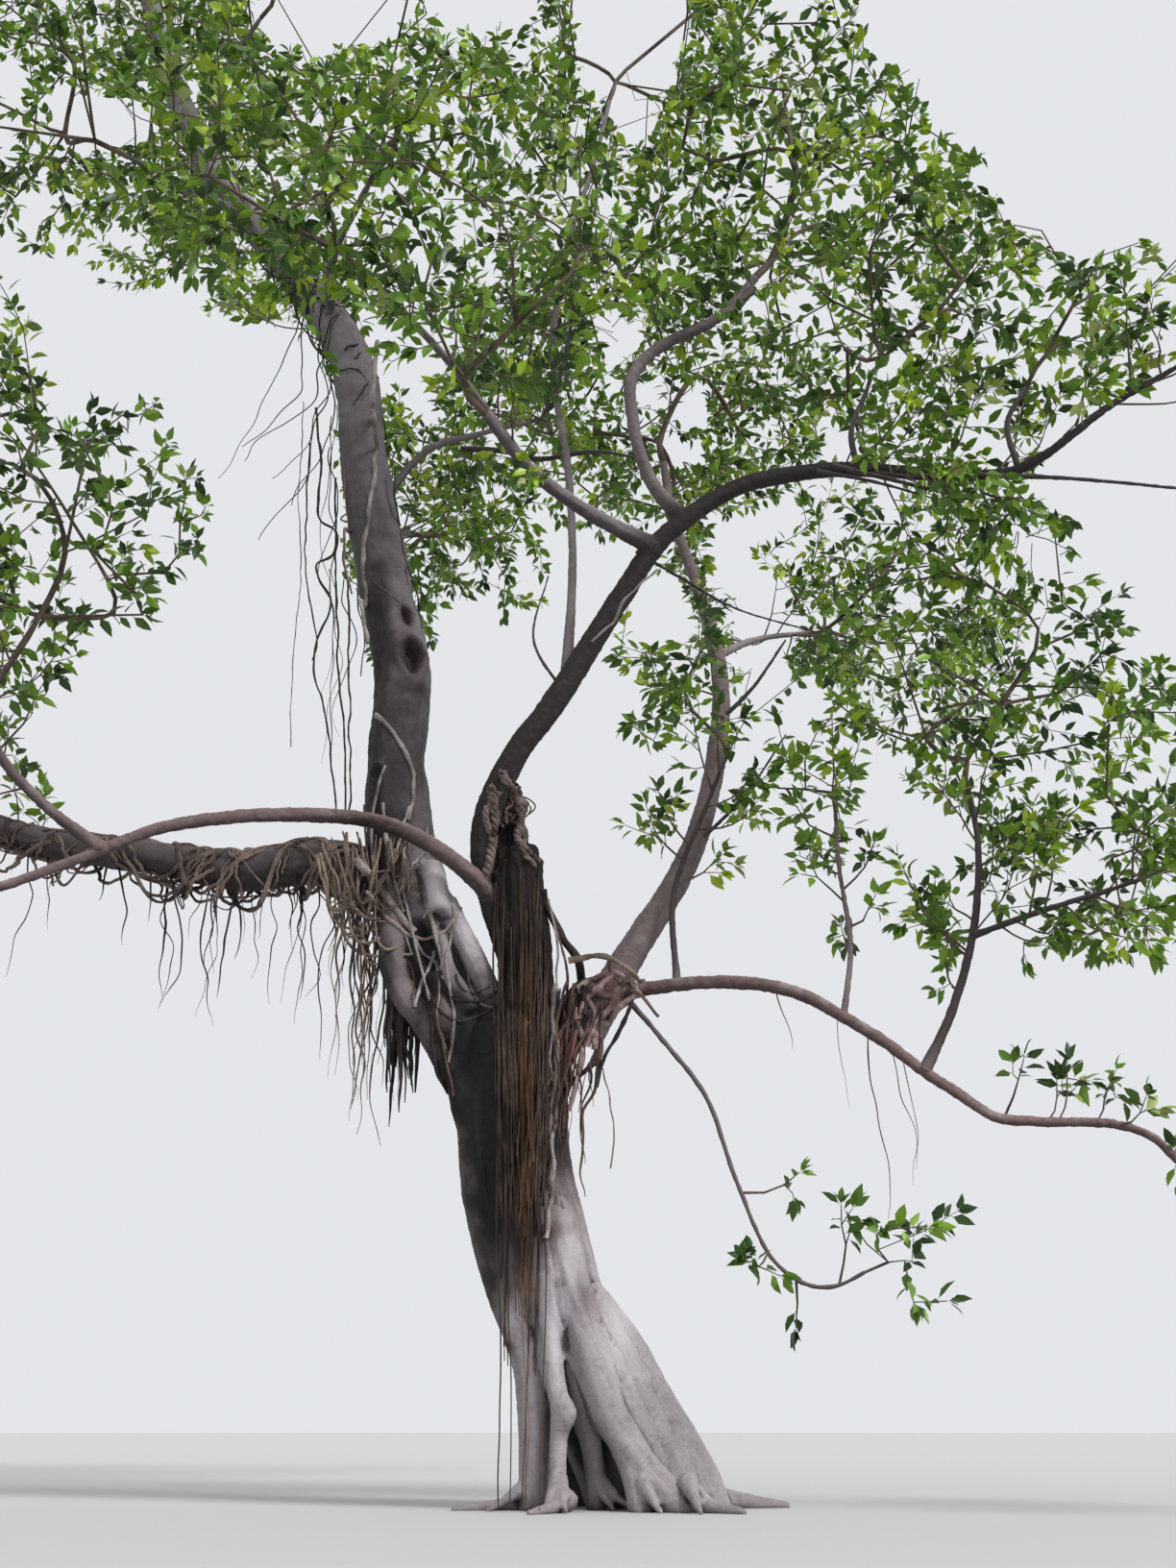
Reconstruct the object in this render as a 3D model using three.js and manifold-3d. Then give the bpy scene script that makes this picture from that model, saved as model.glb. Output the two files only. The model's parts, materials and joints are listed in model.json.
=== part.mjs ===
// A strangler fig, about 10 m tall: fused root columns for a trunk, a broken central stub, arching boughs,
// hanging aerial roots and an open crown of foliage masses. Millimetres, +Z up, origin at ground level.
import * as THREE from "three";
import { mergeVertices } from "three/addons/utils/BufferGeometryUtils.js";
import Module from "manifold-3d";

const wasm = await Module();
wasm.setup();

// Driving dimensions
const seat = 0.35; // how far a grown limb stands proud when it cuts its neighbour clear
const collar = 0.3; // extra thickness where a bough leaves its parent
const collarLimit = 18;
const collarShare = 0.14; // share of the bough's length that the collar takes
const leafLength = 450; // one blade stands for a spray of real leaves
const leafWidth = 215;
const leafThickness = 18;
const leafSink = 7; // how far a blade's root lies past its twig's axis
const leafSlant = 0.95; // angle between a side blade and its twig, in radians
const leafShares = [0.48, 0.78]; // where side blades sit along each piece of twig
const twigTip = 9; // radius of the thinnest twig
const twigGain = 0.3; // how much thicker a twig gets with each spray that it carries
const clearance = 15; // free space kept between foliage and limbs
const cellMargin = 12; // free space kept on each side of the wall between two masses
const shellInner = 0.3; // where spray points lie between a mass's centre, 0, and its outline, 1
const shellOuter = 0.68;
const facetMerge = 0.15; // how far the trunk's surface may shift where needless facets are merged
const goldenAngle = Math.PI * (3 - Math.sqrt(5));

// Root columns fused into the trunk: a core that leans to the left, then the legs of the flare.
// thick is the radius at the first point and thin at the last.
const rootColumns = [
  {
    path: [
      [10, 20, -60], [-80, 10, 300], [-270, 0, 750], [-400, 0, 1200], [-430, 0, 1500], [-430, 0, 1800],
    ],
    thick: 190, thin: 232, sides: 12, rings: 8,
  },
  {
    path: [[-430, 0, 1700], [-430, -10, 1850], [-400, -20, 1960]],
    thick: 232, thin: 150, sides: 10, rings: 2,
  },
  {
    path: [[-470, -80, 1150], [-440, -120, 620], [-340, -140, 300], [-320, -150, -60]],
    thick: 75, thin: 68,
  },
  {
    path: [[-330, -150, 1250], [-240, -215, 600], [-205, -245, 260], [-200, -270, -60]],
    thick: 70, thin: 86,
  },
  { path: [[-200, -90, 700], [-120, -110, 330], [-70, -120, -60]], thick: 70, thin: 60, rings: 3 },
  { path: [[-260, -80, 1150], [-40, -150, 530], [70, -195, 280], [230, -290, -60]], thick: 85, thin: 98 },
  { path: [[-320, 20, 1350], [-90, 30, 770], [125, 50, 380], [325, 60, -60]], thick: 85, thin: 95 },
  { path: [[-300, 120, 1100], [-70, 180, 520], [140, 270, -60]], thick: 75, thin: 92, rings: 3 },
  { path: [[-400, 110, 1100], [-270, 190, 520], [-130, 290, -60]], thick: 75, thin: 90, rings: 3 },
  { path: [[-420, 60, 1000], [-390, 110, 450], [-330, 150, -60]], thick: 70, thin: 86, rings: 3 },
  { path: [[-360, 20, 1150], [-240, 20, 1580], [-140, 0, 1840], [-60, -10, 1960]], thick: 80, thin: 115 },
];
// Surface roots that run out from the flare along the ground
const surfaceRoots = [
  { path: [[250, 40, 60], [420, 20, 25], [640, 60, 4]], thick: 55, thin: 16, sides: 6, rings: 3 },
  { path: [[-280, -140, 30], [-430, -130, 14], [-620, -170, 2]], thick: 42, thin: 12, sides: 6, rings: 3 },
  { path: [[180, -240, 50], [300, -330, 22], [430, -430, 4]], thick: 48, thin: 14, sides: 6, rings: 3 },
  { path: [[-190, -250, 40], [-240, -350, 16], [-330, -460, 3]], thick: 42, thin: 12, sides: 6, rings: 3 },
  { path: [[120, 240, 50], [210, 400, 20], [260, 560, 4]], thick: 46, thin: 14, sides: 6, rings: 3 },
  { path: [[-130, 260, 50], [-200, 420, 18], [-330, 520, 4]], thick: 44, thin: 13, sides: 6, rings: 3 },
];

// Boughs: each leaves its parent at a share of the parent's length and runs on through its own few points.
const boughs = [
  {
    name: "broken_stub", from: "trunk", start: [-400, -30, 1500],
    path: [[-420, -50, 2050], [-410, -75, 2420], [-455, -80, 2800]],
    thick: 165, thin: 62, sides: 8, rings: 5,
  },
  {
    name: "bough_leader", from: "trunk", start: [-450, 0, 1400],
    path: [
      [-560, 0, 1690], [-760, 0, 2090], [-920, 20, 2550], [-980, 50, 3010], [-970, 80, 3500],
      [-1090, 100, 4020], [-1210, 120, 4620], [-1320, 150, 5270], [-1710, 250, 5980],
      [-2200, 400, 6740], [-2560, 550, 7600], [-2800, 660, 8380],
    ],
    thick: 205, thin: 50, sides: 9, rings: 14,
  },
  {
    name: "bough_centre", from: "broken_stub", at: 0.42,
    path: [
      [-570, -140, 2540], [-510, -220, 2830], [-170, -350, 3340], [90, -500, 3760], [270, -550, 3920],
      [540, -600, 4080], [1070, -700, 4100], [1490, -800, 3980], [1870, -900, 4040],
      [2300, -1060, 4300],
    ],
    thick: 92, thin: 20, sides: 7, rings: 13,
  },
  {
    name: "bough_fore", from: "bough_centre", at: 0.46,
    path: [[-170, -750, 3880], [-380, -1000, 3920], [-530, -1200, 4020]],
    thick: 48, thin: 26, sides: 6, rings: 5,
  },
  {
    name: "bough_fore_left", from: "bough_fore", at: 0.72,
    path: [[-700, -1230, 4280], [-1000, -1350, 4560]],
    thick: 28, thin: 16, sides: 5, rings: 4,
  },
  {
    name: "bough_s_curve", from: "bough_centre", at: 0.5,
    path: [[140, -500, 4160], [70, -450, 4500], [120, -400, 4850], [420, -300, 5160], [650, -200, 5460]],
    thick: 50, thin: 26, sides: 7, rings: 8,
  },
  {
    name: "bough_over_main", from: "bough_centre", at: 0.68,
    path: [[1010, -760, 4240], [1080, -790, 4420]],
    thick: 26, thin: 17, sides: 5, rings: 3,
  },
  {
    name: "bough_main_rise", from: "bough_centre", at: 0.83,
    path: [[1640, -900, 4190], [1720, -950, 4330]],
    thick: 26, thin: 16, sides: 5, rings: 3,
  },
  {
    name: "bough_sprout", from: "bough_centre", at: 0.3,
    path: [
      [-190, -200, 3950], [-220, -50, 4560], [-290, 80, 5150], [-260, 200, 5910], [-80, 300, 6750],
      [0, 380, 7240],
    ],
    thick: 30, thin: 15, sides: 5, rings: 9,
  },
  {
    name: "bough_sprout_side", from: "bough_sprout", at: 0.45,
    path: [[-220, -120, 5190], [-190, -250, 5300]],
    thick: 18, thin: 12, sides: 5, rings: 2,
  },
  {
    name: "bough_right_stem", from: "trunk", start: [-130, -10, 1800],
    path: [
      [40, 50, 2120], [330, 250, 2650], [480, 450, 3180], [540, 650, 3730], [470, 850, 4330],
      [350, 1050, 4920], [310, 1200, 5380],
    ],
    thick: 100, thin: 34, sides: 8, rings: 9,
  },
  {
    name: "bough_back_right", from: "bough_right_stem", at: 0.6,
    path: [[800, 1180, 4240], [1150, 1600, 4500]],
    thick: 36, thin: 18, sides: 5, rings: 4,
  },
  {
    name: "bough_arch_left", from: "broken_stub", at: 0.58,
    path: [
      [-690, -250, 2480], [-960, -400, 2580], [-1360, -550, 2560], [-1790, -650, 2470],
      [-2060, -750, 2310], [-2320, -850, 2160], [-2520, -930, 2090],
    ],
    thick: 50, thin: 18, sides: 7, rings: 10,
  },
  {
    name: "bough_arch_left_up", from: "bough_arch_left", at: 0.75,
    path: [[-2220, -800, 2510], [-2400, -850, 2700], [-2460, -890, 2900], [-2380, -900, 3090]],
    thick: 33, thin: 18, sides: 5, rings: 6,
  },
  {
    name: "bough_low_left", from: "bough_leader", at: 0.14,
    path: [
      [-1270, 120, 2590], [-1670, 180, 2570], [-2110, 220, 2650], [-2610, 250, 2740],
      [-3260, 320, 2960],
    ],
    thick: 125, thin: 44, sides: 8, rings: 7,
  },
  {
    name: "bough_arch_right", from: "trunk", start: [-130, -20, 1830],
    path: [
      [190, -100, 1960], [580, -200, 1940], [830, -280, 1830], [1180, -380, 1570], [1440, -450, 1370],
      [1860, -500, 1330], [2080, -550, 1200],
    ],
    thick: 62, thin: 15, sides: 6, rings: 12,
  },
  {
    name: "bough_arch_sprout", from: "bough_arch_right", at: 0.17,
    path: [[250, 0, 2410], [420, 60, 2870], [470, 70, 3000]],
    thick: 18, thin: 12, sides: 5, rings: 4,
  },
  {
    name: "bough_right_upright", from: "bough_arch_right", at: 0.6,
    path: [[1330, -350, 1830], [1450, -320, 2180], [1500, -300, 2520], [1490, -290, 2730]],
    thick: 27, thin: 17, sides: 5, rings: 5,
  },
  {
    name: "bough_upright_side", from: "bough_right_upright", at: 0.5,
    path: [[1690, -400, 2200], [1950, -450, 2270], [2080, -470, 2310]],
    thick: 19, thin: 13, sides: 5, rings: 4,
  },
  {
    name: "bough_thin_upright", from: "bough_arch_right", at: 0.45,
    path: [[960, -200, 2110], [950, -100, 2500], [960, -40, 2760]],
    thick: 20, thin: 14, sides: 5, rings: 4,
  },
  {
    name: "bough_droop", from: "bough_arch_right", at: 0.08,
    path: [[200, -200, 1700], [340, -300, 1480], [440, -400, 1140], [560, -450, 850], [680, -480, 760]],
    thick: 15, thin: 9, sides: 5, rings: 6,
  },
  {
    name: "bough_high_left", from: "bough_leader", at: 0.7,
    path: [[-2250, 200, 6450], [-2560, 60, 6530]],
    thick: 34, thin: 18, sides: 5, rings: 3,
  },
  {
    name: "bough_top_right", from: "bough_leader", at: 0.78,
    path: [[-2180, 300, 7350], [-1960, 150, 7620]],
    thick: 36, thin: 18, sides: 5, rings: 4,
  },
  {
    name: "bough_top_back", from: "bough_leader", at: 0.74,
    path: [[-2480, 900, 7150], [-2600, 1300, 7400]],
    thick: 36, thin: 18, sides: 5, rings: 4,
  },
  {
    name: "bough_high_fore", from: "bough_leader", at: 0.57,
    path: [[-1400, -150, 5640], [-1180, -480, 5850]],
    thick: 40, thin: 20, sides: 6, rings: 4,
  },
  {
    name: "bough_back_left", from: "bough_leader", at: 0.33,
    path: [[-1140, 650, 4550], [-1120, 1350, 5000], [-1110, 1560, 5120]],
    thick: 50, thin: 22, sides: 6, rings: 5,
  },
  {
    name: "bough_leader_right", from: "bough_leader", at: 0.41,
    path: [[-950, 300, 4840], [-700, 700, 5230], [-450, 1150, 5620]],
    thick: 42, thin: 22, sides: 6, rings: 5,
  },
];

// Aerial roots: bundles of strands that hang from a limb. spread is the half width of the bundle's foot.
const rootBundles = [
  {
    name: "roots_curtain", from: "broken_stub",
    start: [-440, -90, 2640], collarPoint: [-440, -250, 2560], foot: [-290, -470, 60],
    spread: [110, 25], strands: 6, thick: 26,
  },
  {
    name: "roots_low_left_near", from: "bough_low_left",
    start: [-1180, 100, 2580], collarPoint: [-1180, 60, 2380], foot: [-1120, 30, 1380],
    spread: [140, 90], strands: 6, thick: 20,
  },
  {
    name: "roots_low_left_far", from: "bough_low_left",
    start: [-2150, 220, 2640], collarPoint: [-2150, 200, 2500], foot: [-2100, 200, 1850],
    spread: [170, 100], strands: 4, thick: 16,
  },
  {
    name: "roots_leader", from: "bough_leader",
    start: [-1270, 140, 5000], collarPoint: [-1440, 60, 4930], foot: [-1290, 20, 2780],
    spread: [160, 70], strands: 4, thick: 15,
  },
  {
    name: "roots_knot", from: "trunk",
    start: [-100, -20, 1880], collarPoint: [-95, -190, 1800], foot: [-150, -290, 1020],
    spread: [70, 40], strands: 4, thick: 20,
  },
];

// Foliage masses: centre and half sizes of each mass's space, and its number of spray points
const masses = [
  {
    name: "foliage_crown_top", bough: "bough_leader",
    centre: [-2930, 660, 9150], reach: [1320, 1230, 850], sprays: 10,
  },
  {
    name: "foliage_top_right", bough: "bough_top_right",
    centre: [-1700, -50, 8060], reach: [850, 950, 720], sprays: 8,
  },
  {
    name: "foliage_top_back", bough: "bough_top_back",
    centre: [-2750, 1900, 7700], reach: [920, 950, 780], sprays: 9,
  },
  {
    name: "foliage_high_left", bough: "bough_high_left",
    centre: [-3150, -100, 6820], reach: [850, 950, 900], sprays: 9,
  },
  {
    name: "foliage_high_fore", bough: "bough_high_fore",
    centre: [-980, -850, 6300], reach: [920, 950, 740], sprays: 9,
  },
  {
    name: "foliage_fore_left", bough: "bough_fore_left",
    centre: [-1400, -1500, 5050], reach: [760, 870, 720], sprays: 9,
  },
  {
    name: "foliage_fore", bough: "bough_fore",
    centre: [-480, -1800, 4420], reach: [760, 850, 670], sprays: 9,
  },
  {
    name: "foliage_centre", bough: "bough_sprout_side",
    centre: [-60, -500, 5680], reach: [850, 810, 850], sprays: 9,
  },
  {
    name: "foliage_centre_top", bough: "bough_sprout",
    centre: [20, 500, 7950], reach: [1080, 1120, 920], sprays: 10,
  },
  {
    name: "foliage_s_top", bough: "bough_s_curve",
    centre: [1080, -150, 6300], reach: [1190, 1120, 1010], sprays: 11,
  },
  {
    name: "foliage_over_main", bough: "bough_over_main",
    centre: [1300, -800, 4980], reach: [850, 850, 630], sprays: 9,
  },
  {
    name: "foliage_main_rise", bough: "bough_main_rise",
    centre: [2150, -1150, 5080], reach: [690, 850, 690], sprays: 8,
  },
  {
    name: "foliage_main_right", bough: "bough_centre",
    centre: [2950, -1200, 4550], reach: [760, 920, 690], sprays: 9,
  },
  {
    name: "foliage_stem_top", bough: "bough_right_stem",
    centre: [520, 1650, 6000], reach: [1100, 1010, 900], sprays: 10,
  },
  {
    name: "foliage_back_right", bough: "bough_back_right",
    centre: [1820, 2120, 4950], reach: [1080, 1010, 870], sprays: 10,
  },
  {
    name: "foliage_arch_sprout", bough: "bough_arch_sprout",
    centre: [470, 80, 3480], reach: [580, 630, 540], sprays: 7,
  },
  {
    name: "foliage_upright", bough: "bough_right_upright",
    centre: [1600, -320, 3330], reach: [830, 850, 690], sprays: 9,
  },
  {
    name: "foliage_upright_right", bough: "bough_upright_side",
    centre: [2480, -500, 2650], reach: [670, 720, 580], sprays: 7,
  },
  {
    name: "foliage_thin_top", bough: "bough_thin_upright",
    centre: [900, 60, 3150], reach: [470, 560, 480], sprays: 5,
  },
  {
    name: "foliage_arch_tip", bough: "bough_arch_right",
    centre: [2560, -620, 1220], reach: [670, 720, 520], sprays: 7,
  },
  {
    name: "foliage_droop_tip", bough: "bough_droop",
    centre: [930, -520, 880], reach: [370, 380, 290], sprays: 4,
  },
  {
    name: "foliage_left_mid", bough: "bough_arch_left_up",
    centre: [-2330, -900, 3760], reach: [900, 920, 850], sprays: 10,
  },
  {
    name: "foliage_left_out", bough: "bough_arch_left",
    centre: [-3080, -1050, 2180], reach: [720, 830, 600], sprays: 8,
  },
  {
    name: "foliage_low_left", bough: "bough_low_left",
    centre: [-3950, 430, 3420], reach: [990, 1010, 850], sprays: 10,
  },
  {
    name: "foliage_back_left", bough: "bough_back_left",
    centre: [-1250, 2150, 5550], reach: [1060, 1010, 870], sprays: 10,
  },
  {
    name: "foliage_back_top", bough: "bough_leader_right",
    centre: [-420, 1600, 6500], reach: [780, 950, 900], sprays: 9,
  },
];

const colours = {
  trunk: [0x9b9189, 0.9],
  stub: [0x4f3d2e, 0.95],
  pale: [0x8b8079, 0.88],
  red: [0x77605a, 0.8],
  dark: [0x4a403d, 0.85],
  roots: [0x6a5540, 0.9],
  leaf: [0x3f7020, 0.6],
};
const barkOf = {
  bough_leader: "pale",
  bough_low_left: "pale",
  broken_stub: "stub",
  bough_centre: "dark",
  bough_right_upright: "dark",
  bough_upright_side: "dark",
  bough_thin_upright: "dark",
};

const vector = (p) => new THREE.Vector3(...p);

// A repeatable random number from 0 to 1, so that each build grows the same tree
function seeded(seed) {
  let state = seed >>> 0;
  return () => {
    state = (state + 0x6d2b79f5) >>> 0;
    let mixed = Math.imul(state ^ (state >>> 15), 1 | state);
    mixed = (mixed + Math.imul(mixed ^ (mixed >>> 7), 61 | mixed)) ^ mixed;
    return ((mixed ^ (mixed >>> 14)) >>> 0) / 4294967296;
  };
}

function solidOf(geometry) {
  geometry.deleteAttribute("normal");
  geometry.deleteAttribute("uv");
  const merged = mergeVertices(geometry, 1e-3);
  const vertProperties = merged.getAttribute("position").array;
  const triVerts = new Uint32Array(merged.index.array);
  return new wasm.Manifold(new wasm.Mesh({ numProp: 3, vertProperties, triVerts }));
}

function geometryOf(solid) {
  const mesh = solid.getMesh();
  const geometry = new THREE.BufferGeometry();
  geometry.setAttribute("position", new THREE.BufferAttribute(mesh.vertProperties, 3));
  geometry.setIndex(new THREE.BufferAttribute(mesh.triVerts, 1));
  return geometry;
}

// Keeps the largest body of a cut solid and drops loose scraps
function largest(solid) {
  return solid.decompose().sort((a, b) => b.volume() - a.volume())[0];
}

// A prism with this many sides, bent along a curve, with its radius set at each share of the length
function bentSolid(curve, radiusAt, sides, rings, grow = 0) {
  const corners = Array.from({ length: sides }, (_, i) => {
    const turn = (i / sides) * 2 * Math.PI;
    return new THREE.Vector2(Math.cos(turn), Math.sin(turn));
  });
  const prism = { depth: 1, steps: rings, bevelEnabled: false };
  const geometry = new THREE.ExtrudeGeometry(new THREE.Shape(corners), prism);
  const frames = curve.computeFrenetFrames(rings);
  const position = geometry.getAttribute("position");
  for (let i = 0; i < position.count; i++) {
    const share = position.getZ(i);
    const ring = Math.round(share * rings);
    const radius = radiusAt(share) + grow;
    const point = curve.getPointAt(share);
    point.addScaledVector(frames.normals[ring], position.getX(i) * radius);
    point.addScaledVector(frames.binormals[ring], position.getY(i) * radius);
    if (ring === 0) point.addScaledVector(frames.tangents[0], -grow);
    if (ring === rings) point.addScaledVector(frames.tangents[rings], grow);
    position.setXYZ(i, point.x, point.y, point.z);
  }
  return solidOf(geometry);
}

const taper = (thick, thin) => (share) => thick + (thin - thick) * share;

function boughTaper({ thick, thin }) {
  return (share) => {
    const swell = Math.min(collar * thick, collarLimit) * Math.pow(Math.max(0, 1 - share / collarShare), 2);
    return thick + (thin - thick) * Math.pow(share, 0.8) + swell;
  };
}

function curveThrough(points) {
  return new THREE.CatmullRomCurve3(points, false, "centripetal");
}

// Every limb's centre line as short capsules, which foliage keeps clear of
const obstacles = [];

function addObstacle(curve, radiusAt, steps) {
  for (let i = 0; i < steps; i++) {
    const from = curve.getPointAt(i / steps);
    const to = curve.getPointAt((i + 1) / steps);
    obstacles.push({ line: new THREE.Line3(from, to), radius: radiusAt(i / steps) });
  }
}

const groundCut = new THREE.BoxGeometry(4000, 4000, 400).translate(0, 0, -200);

function trunkSolid(grow = 0) {
  const columns = [...rootColumns, ...surfaceRoots].map(({ path, thick, thin, sides = 7, rings = 4 }) => {
    const curve = curveThrough(path.map(vector));
    if (!grow) addObstacle(curve, taper(thick, thin), rings);
    return bentSolid(curve, taper(thick, thin), sides, rings, grow);
  });
  return largest(wasm.Manifold.union(columns).subtract(solidOf(groundCut.clone()))).simplify(facetMerge);
}

// Distance between two straight pieces, sampled along the first
function gapBetween(line, other) {
  const point = new THREE.Vector3();
  const near = new THREE.Vector3();
  let gap = Infinity;
  for (let i = 0; i <= 8; i++) {
    line.at(i / 8, point);
    other.closestPointToPoint(point, true, near);
    gap = Math.min(gap, point.distanceTo(near));
  }
  return gap;
}

function clearOfLimbs(line, radius) {
  return obstacles.every((limb) => gapBetween(line, limb.line) > limb.radius + radius + clearance);
}

// Each mass keeps to a flat-sided cell between its neighbours, and to its own rounded space
function roomOf(mass) {
  const centre = vector(mass.centre);
  const reach = vector(mass.reach);
  const size = (reach.x + reach.y + reach.z) / 3;
  const walls = masses
    .filter((other) => other !== mass)
    .map((other) => {
      const away = vector(other.centre).sub(centre);
      const distance = away.length();
      const otherSize = (other.reach[0] + other.reach[1] + other.reach[2]) / 3;
      const wall = (distance * distance + size * size - otherSize * otherSize) / (2 * distance);
      return { away: away.normalize(), wall };
    });
  const inCell = (point, margin) => {
    const offset = point.clone().sub(centre);
    return walls.every(({ away, wall }) => offset.dot(away) < wall - margin - cellMargin);
  };
  const inSpace = (point) => point.clone().sub(centre).divide(reach).length() <= 1;
  return { centre, reach, inCell, inSpace };
}

// Points spread evenly through the space by the golden angle, at seeded depths
function sprayPoints({ sprays, seed }, { centre, reach }) {
  const random = seeded(seed);
  return Array.from({ length: sprays }, (_, i) => {
    const height = 1 - (2 * (i + 0.5)) / sprays;
    const ring = Math.sqrt(1 - height * height);
    const turn = i * goldenAngle + seed;
    const depth = shellInner + (shellOuter - shellInner) * random();
    return new THREE.Vector3(ring * Math.cos(turn), ring * Math.sin(turn), height)
      .multiplyScalar(depth)
      .multiply(reach)
      .add(centre);
  });
}

// Twigs: each spray point, nearest first, joins the node that a short, straight twig can reach it from
function growTwigs(mass, room, bough) {
  const heading = bough.curve.getTangentAt(1);
  const start = bough.curve.getPointAt(1).addScaledVector(heading, seat);
  const stemLength = 0.22 * Math.min(...mass.reach);
  const first = start.clone().addScaledVector(heading, stemLength);
  const nodes = [{ point: start, heading, parent: -1 }, { point: first, heading, parent: 0 }];
  const targets = sprayPoints(mass, room).sort((a, b) => a.distanceTo(start) - b.distanceTo(start));
  for (const target of targets) {
    if (!room.inCell(target, twigTip)) continue;
    let best = null;
    nodes.forEach((node, index) => {
      const way = target.clone().sub(node.point);
      const length = way.length();
      if (index === 0 || length < 4 * twigTip) return;
      const cost = length * (1.5 - 0.5 * node.heading.dot(way) / length);
      if (best && cost >= best.cost) return;
      if (clearOfLimbs(new THREE.Line3(node.point, target), 2 * twigTip)) best = { cost, index, way };
    });
    if (best) nodes.push({ point: target, heading: best.way.normalize(), parent: best.index });
  }
  return nodes;
}

// A chain of straight pieces whose shares fall on its corners, so that its rings sit there
class Chain extends THREE.Curve {
  constructor(points) {
    super();
    this.points = points;
  }
  getPointAt(share) {
    return this.points[Math.round(share * (this.points.length - 1))].clone();
  }
  getTangentAt(share) {
    const last = this.points.length - 1;
    const corner = Math.round(share * last);
    const before = this.points[Math.max(corner - 1, 0)];
    return this.points[Math.min(corner + 1, last)].clone().sub(before).normalize();
  }
}

// A blade with four faces: a keel from root to tip below, and its two side corners raised
function bladeSolid(root, along, across, length) {
  const corner = Math.SQRT2 / Math.sqrt(3);
  const blade = new THREE.TetrahedronGeometry(1, 0).rotateZ(Math.PI / 4);
  const width = (leafWidth * length) / leafLength;
  blade.scale(length / 2 / corner, width / 2 / corner, (leafThickness / 2) * Math.sqrt(3));
  blade.translate(length / 2 - leafSink, 0, leafThickness / 2);
  const face = new THREE.Vector3().crossVectors(along, across);
  blade.applyMatrix4(new THREE.Matrix4().makeBasis(along, across, face).setPosition(root));
  return solidOf(blade);
}

// Splits the grown nodes into chains: the child that carries most goes on, the others start their own
function chainsOf(nodes) {
  for (const node of nodes) node.load = 0;
  for (const node of nodes.slice(1)) {
    for (let up = node; up; up = nodes[up.parent]) up.load += 1;
  }
  const chains = [];
  const follow = (start, next) => {
    const chain = [start];
    for (let here = next; here; ) {
      chain.push(here);
      const from = here;
      const children = nodes.filter((child) => nodes[child.parent] === from);
      children.sort((a, b) => b.load - a.load);
      children.slice(1).forEach((child) => follow(from, child));
      here = children[0];
    }
    chains.push(chain);
  };
  follow(nodes[0], nodes[1]);
  return chains;
}

function foliageSolid(mass, bough) {
  const room = roomOf(mass);
  const nodes = growTwigs(mass, room, bough);
  const chains = chainsOf(nodes);
  const stemRadius = Math.min(0.95 * bough.thin, twigTip * (1 + twigGain * nodes.length));
  const radiusOf = (node) => Math.min(stemRadius, twigTip * (1 + twigGain * (Math.max(node.load, 1) - 1)));
  const placed = nodes.slice(1).map((node) => new THREE.Line3(nodes[node.parent].point, node.point));
  const parts = [];
  const blades = [];
  const addBlade = (root, along, across, twig) => {
    for (const share of [1, 0.85, 0.7]) {
      const length = leafLength * share;
      const half = (leafWidth * share) / 2;
      const tip = root.clone().addScaledVector(along, length);
      const middle = root.clone().lerp(tip, 0.5);
      const left = middle.clone().addScaledVector(across, half);
      const right = middle.clone().addScaledVector(across, -half);
      const fits = [tip, left, right].every((p) => room.inSpace(p) && room.inCell(p, leafThickness));
      const outer = new THREE.Line3(root.clone().lerp(tip, 0.3), tip);
      const free = placed.every((line) => line === twig || gapBetween(outer, line) > 0.9 * half);
      if (!fits || !free || !clearOfLimbs(new THREE.Line3(root, tip), half)) continue;
      placed.push(outer);
      blades.push(bladeSolid(root, along, across, length));
      return;
    }
  };
  for (const chain of chains) {
    const curve = new Chain(chain.map((node) => node.point));
    const rings = chain.length - 1;
    const frames = curve.computeFrenetFrames(rings);
    const radii = chain.map((node, i) => radiusOf(i ? node : chain[1]));
    if (chain !== chains.at(-1)) radii[0] = Math.min(radii[0], 0.55 * radiusOf(chain[0]));
    parts.push(bentSolid(curve, (share) => radii[Math.round(share * rings)], 3, rings));
    chain.forEach((node, i) => {
      if (nodes.indexOf(node) < 2 || i === 0) return;
      const from = chain[i - 1].point;
      const heading = node.point.clone().sub(from).normalize();
      const twig = placed[nodes.indexOf(node) - 1];
      leafShares.forEach((share, k) => {
        const turn = ((2 * (i + k) + 1) / 3) * Math.PI;
        const outward = frames.normals[i].clone().multiplyScalar(Math.cos(turn));
        outward.addScaledVector(frames.binormals[i], Math.sin(turn));
        outward.addScaledVector(heading, -outward.dot(heading)).normalize();
        const along = heading.clone().multiplyScalar(Math.cos(leafSlant));
        along.addScaledVector(outward, Math.sin(leafSlant));
        const across = new THREE.Vector3().crossVectors(outward, heading);
        addBlade(from.clone().lerp(node.point, share), along, across, twig);
      });
      if (i === rings) addBlade(node.point.clone(), heading, frames.binormals[i], twig);
    });
  }
  return largest(wasm.Manifold.union([...parts, ...blades]));
}

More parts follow.
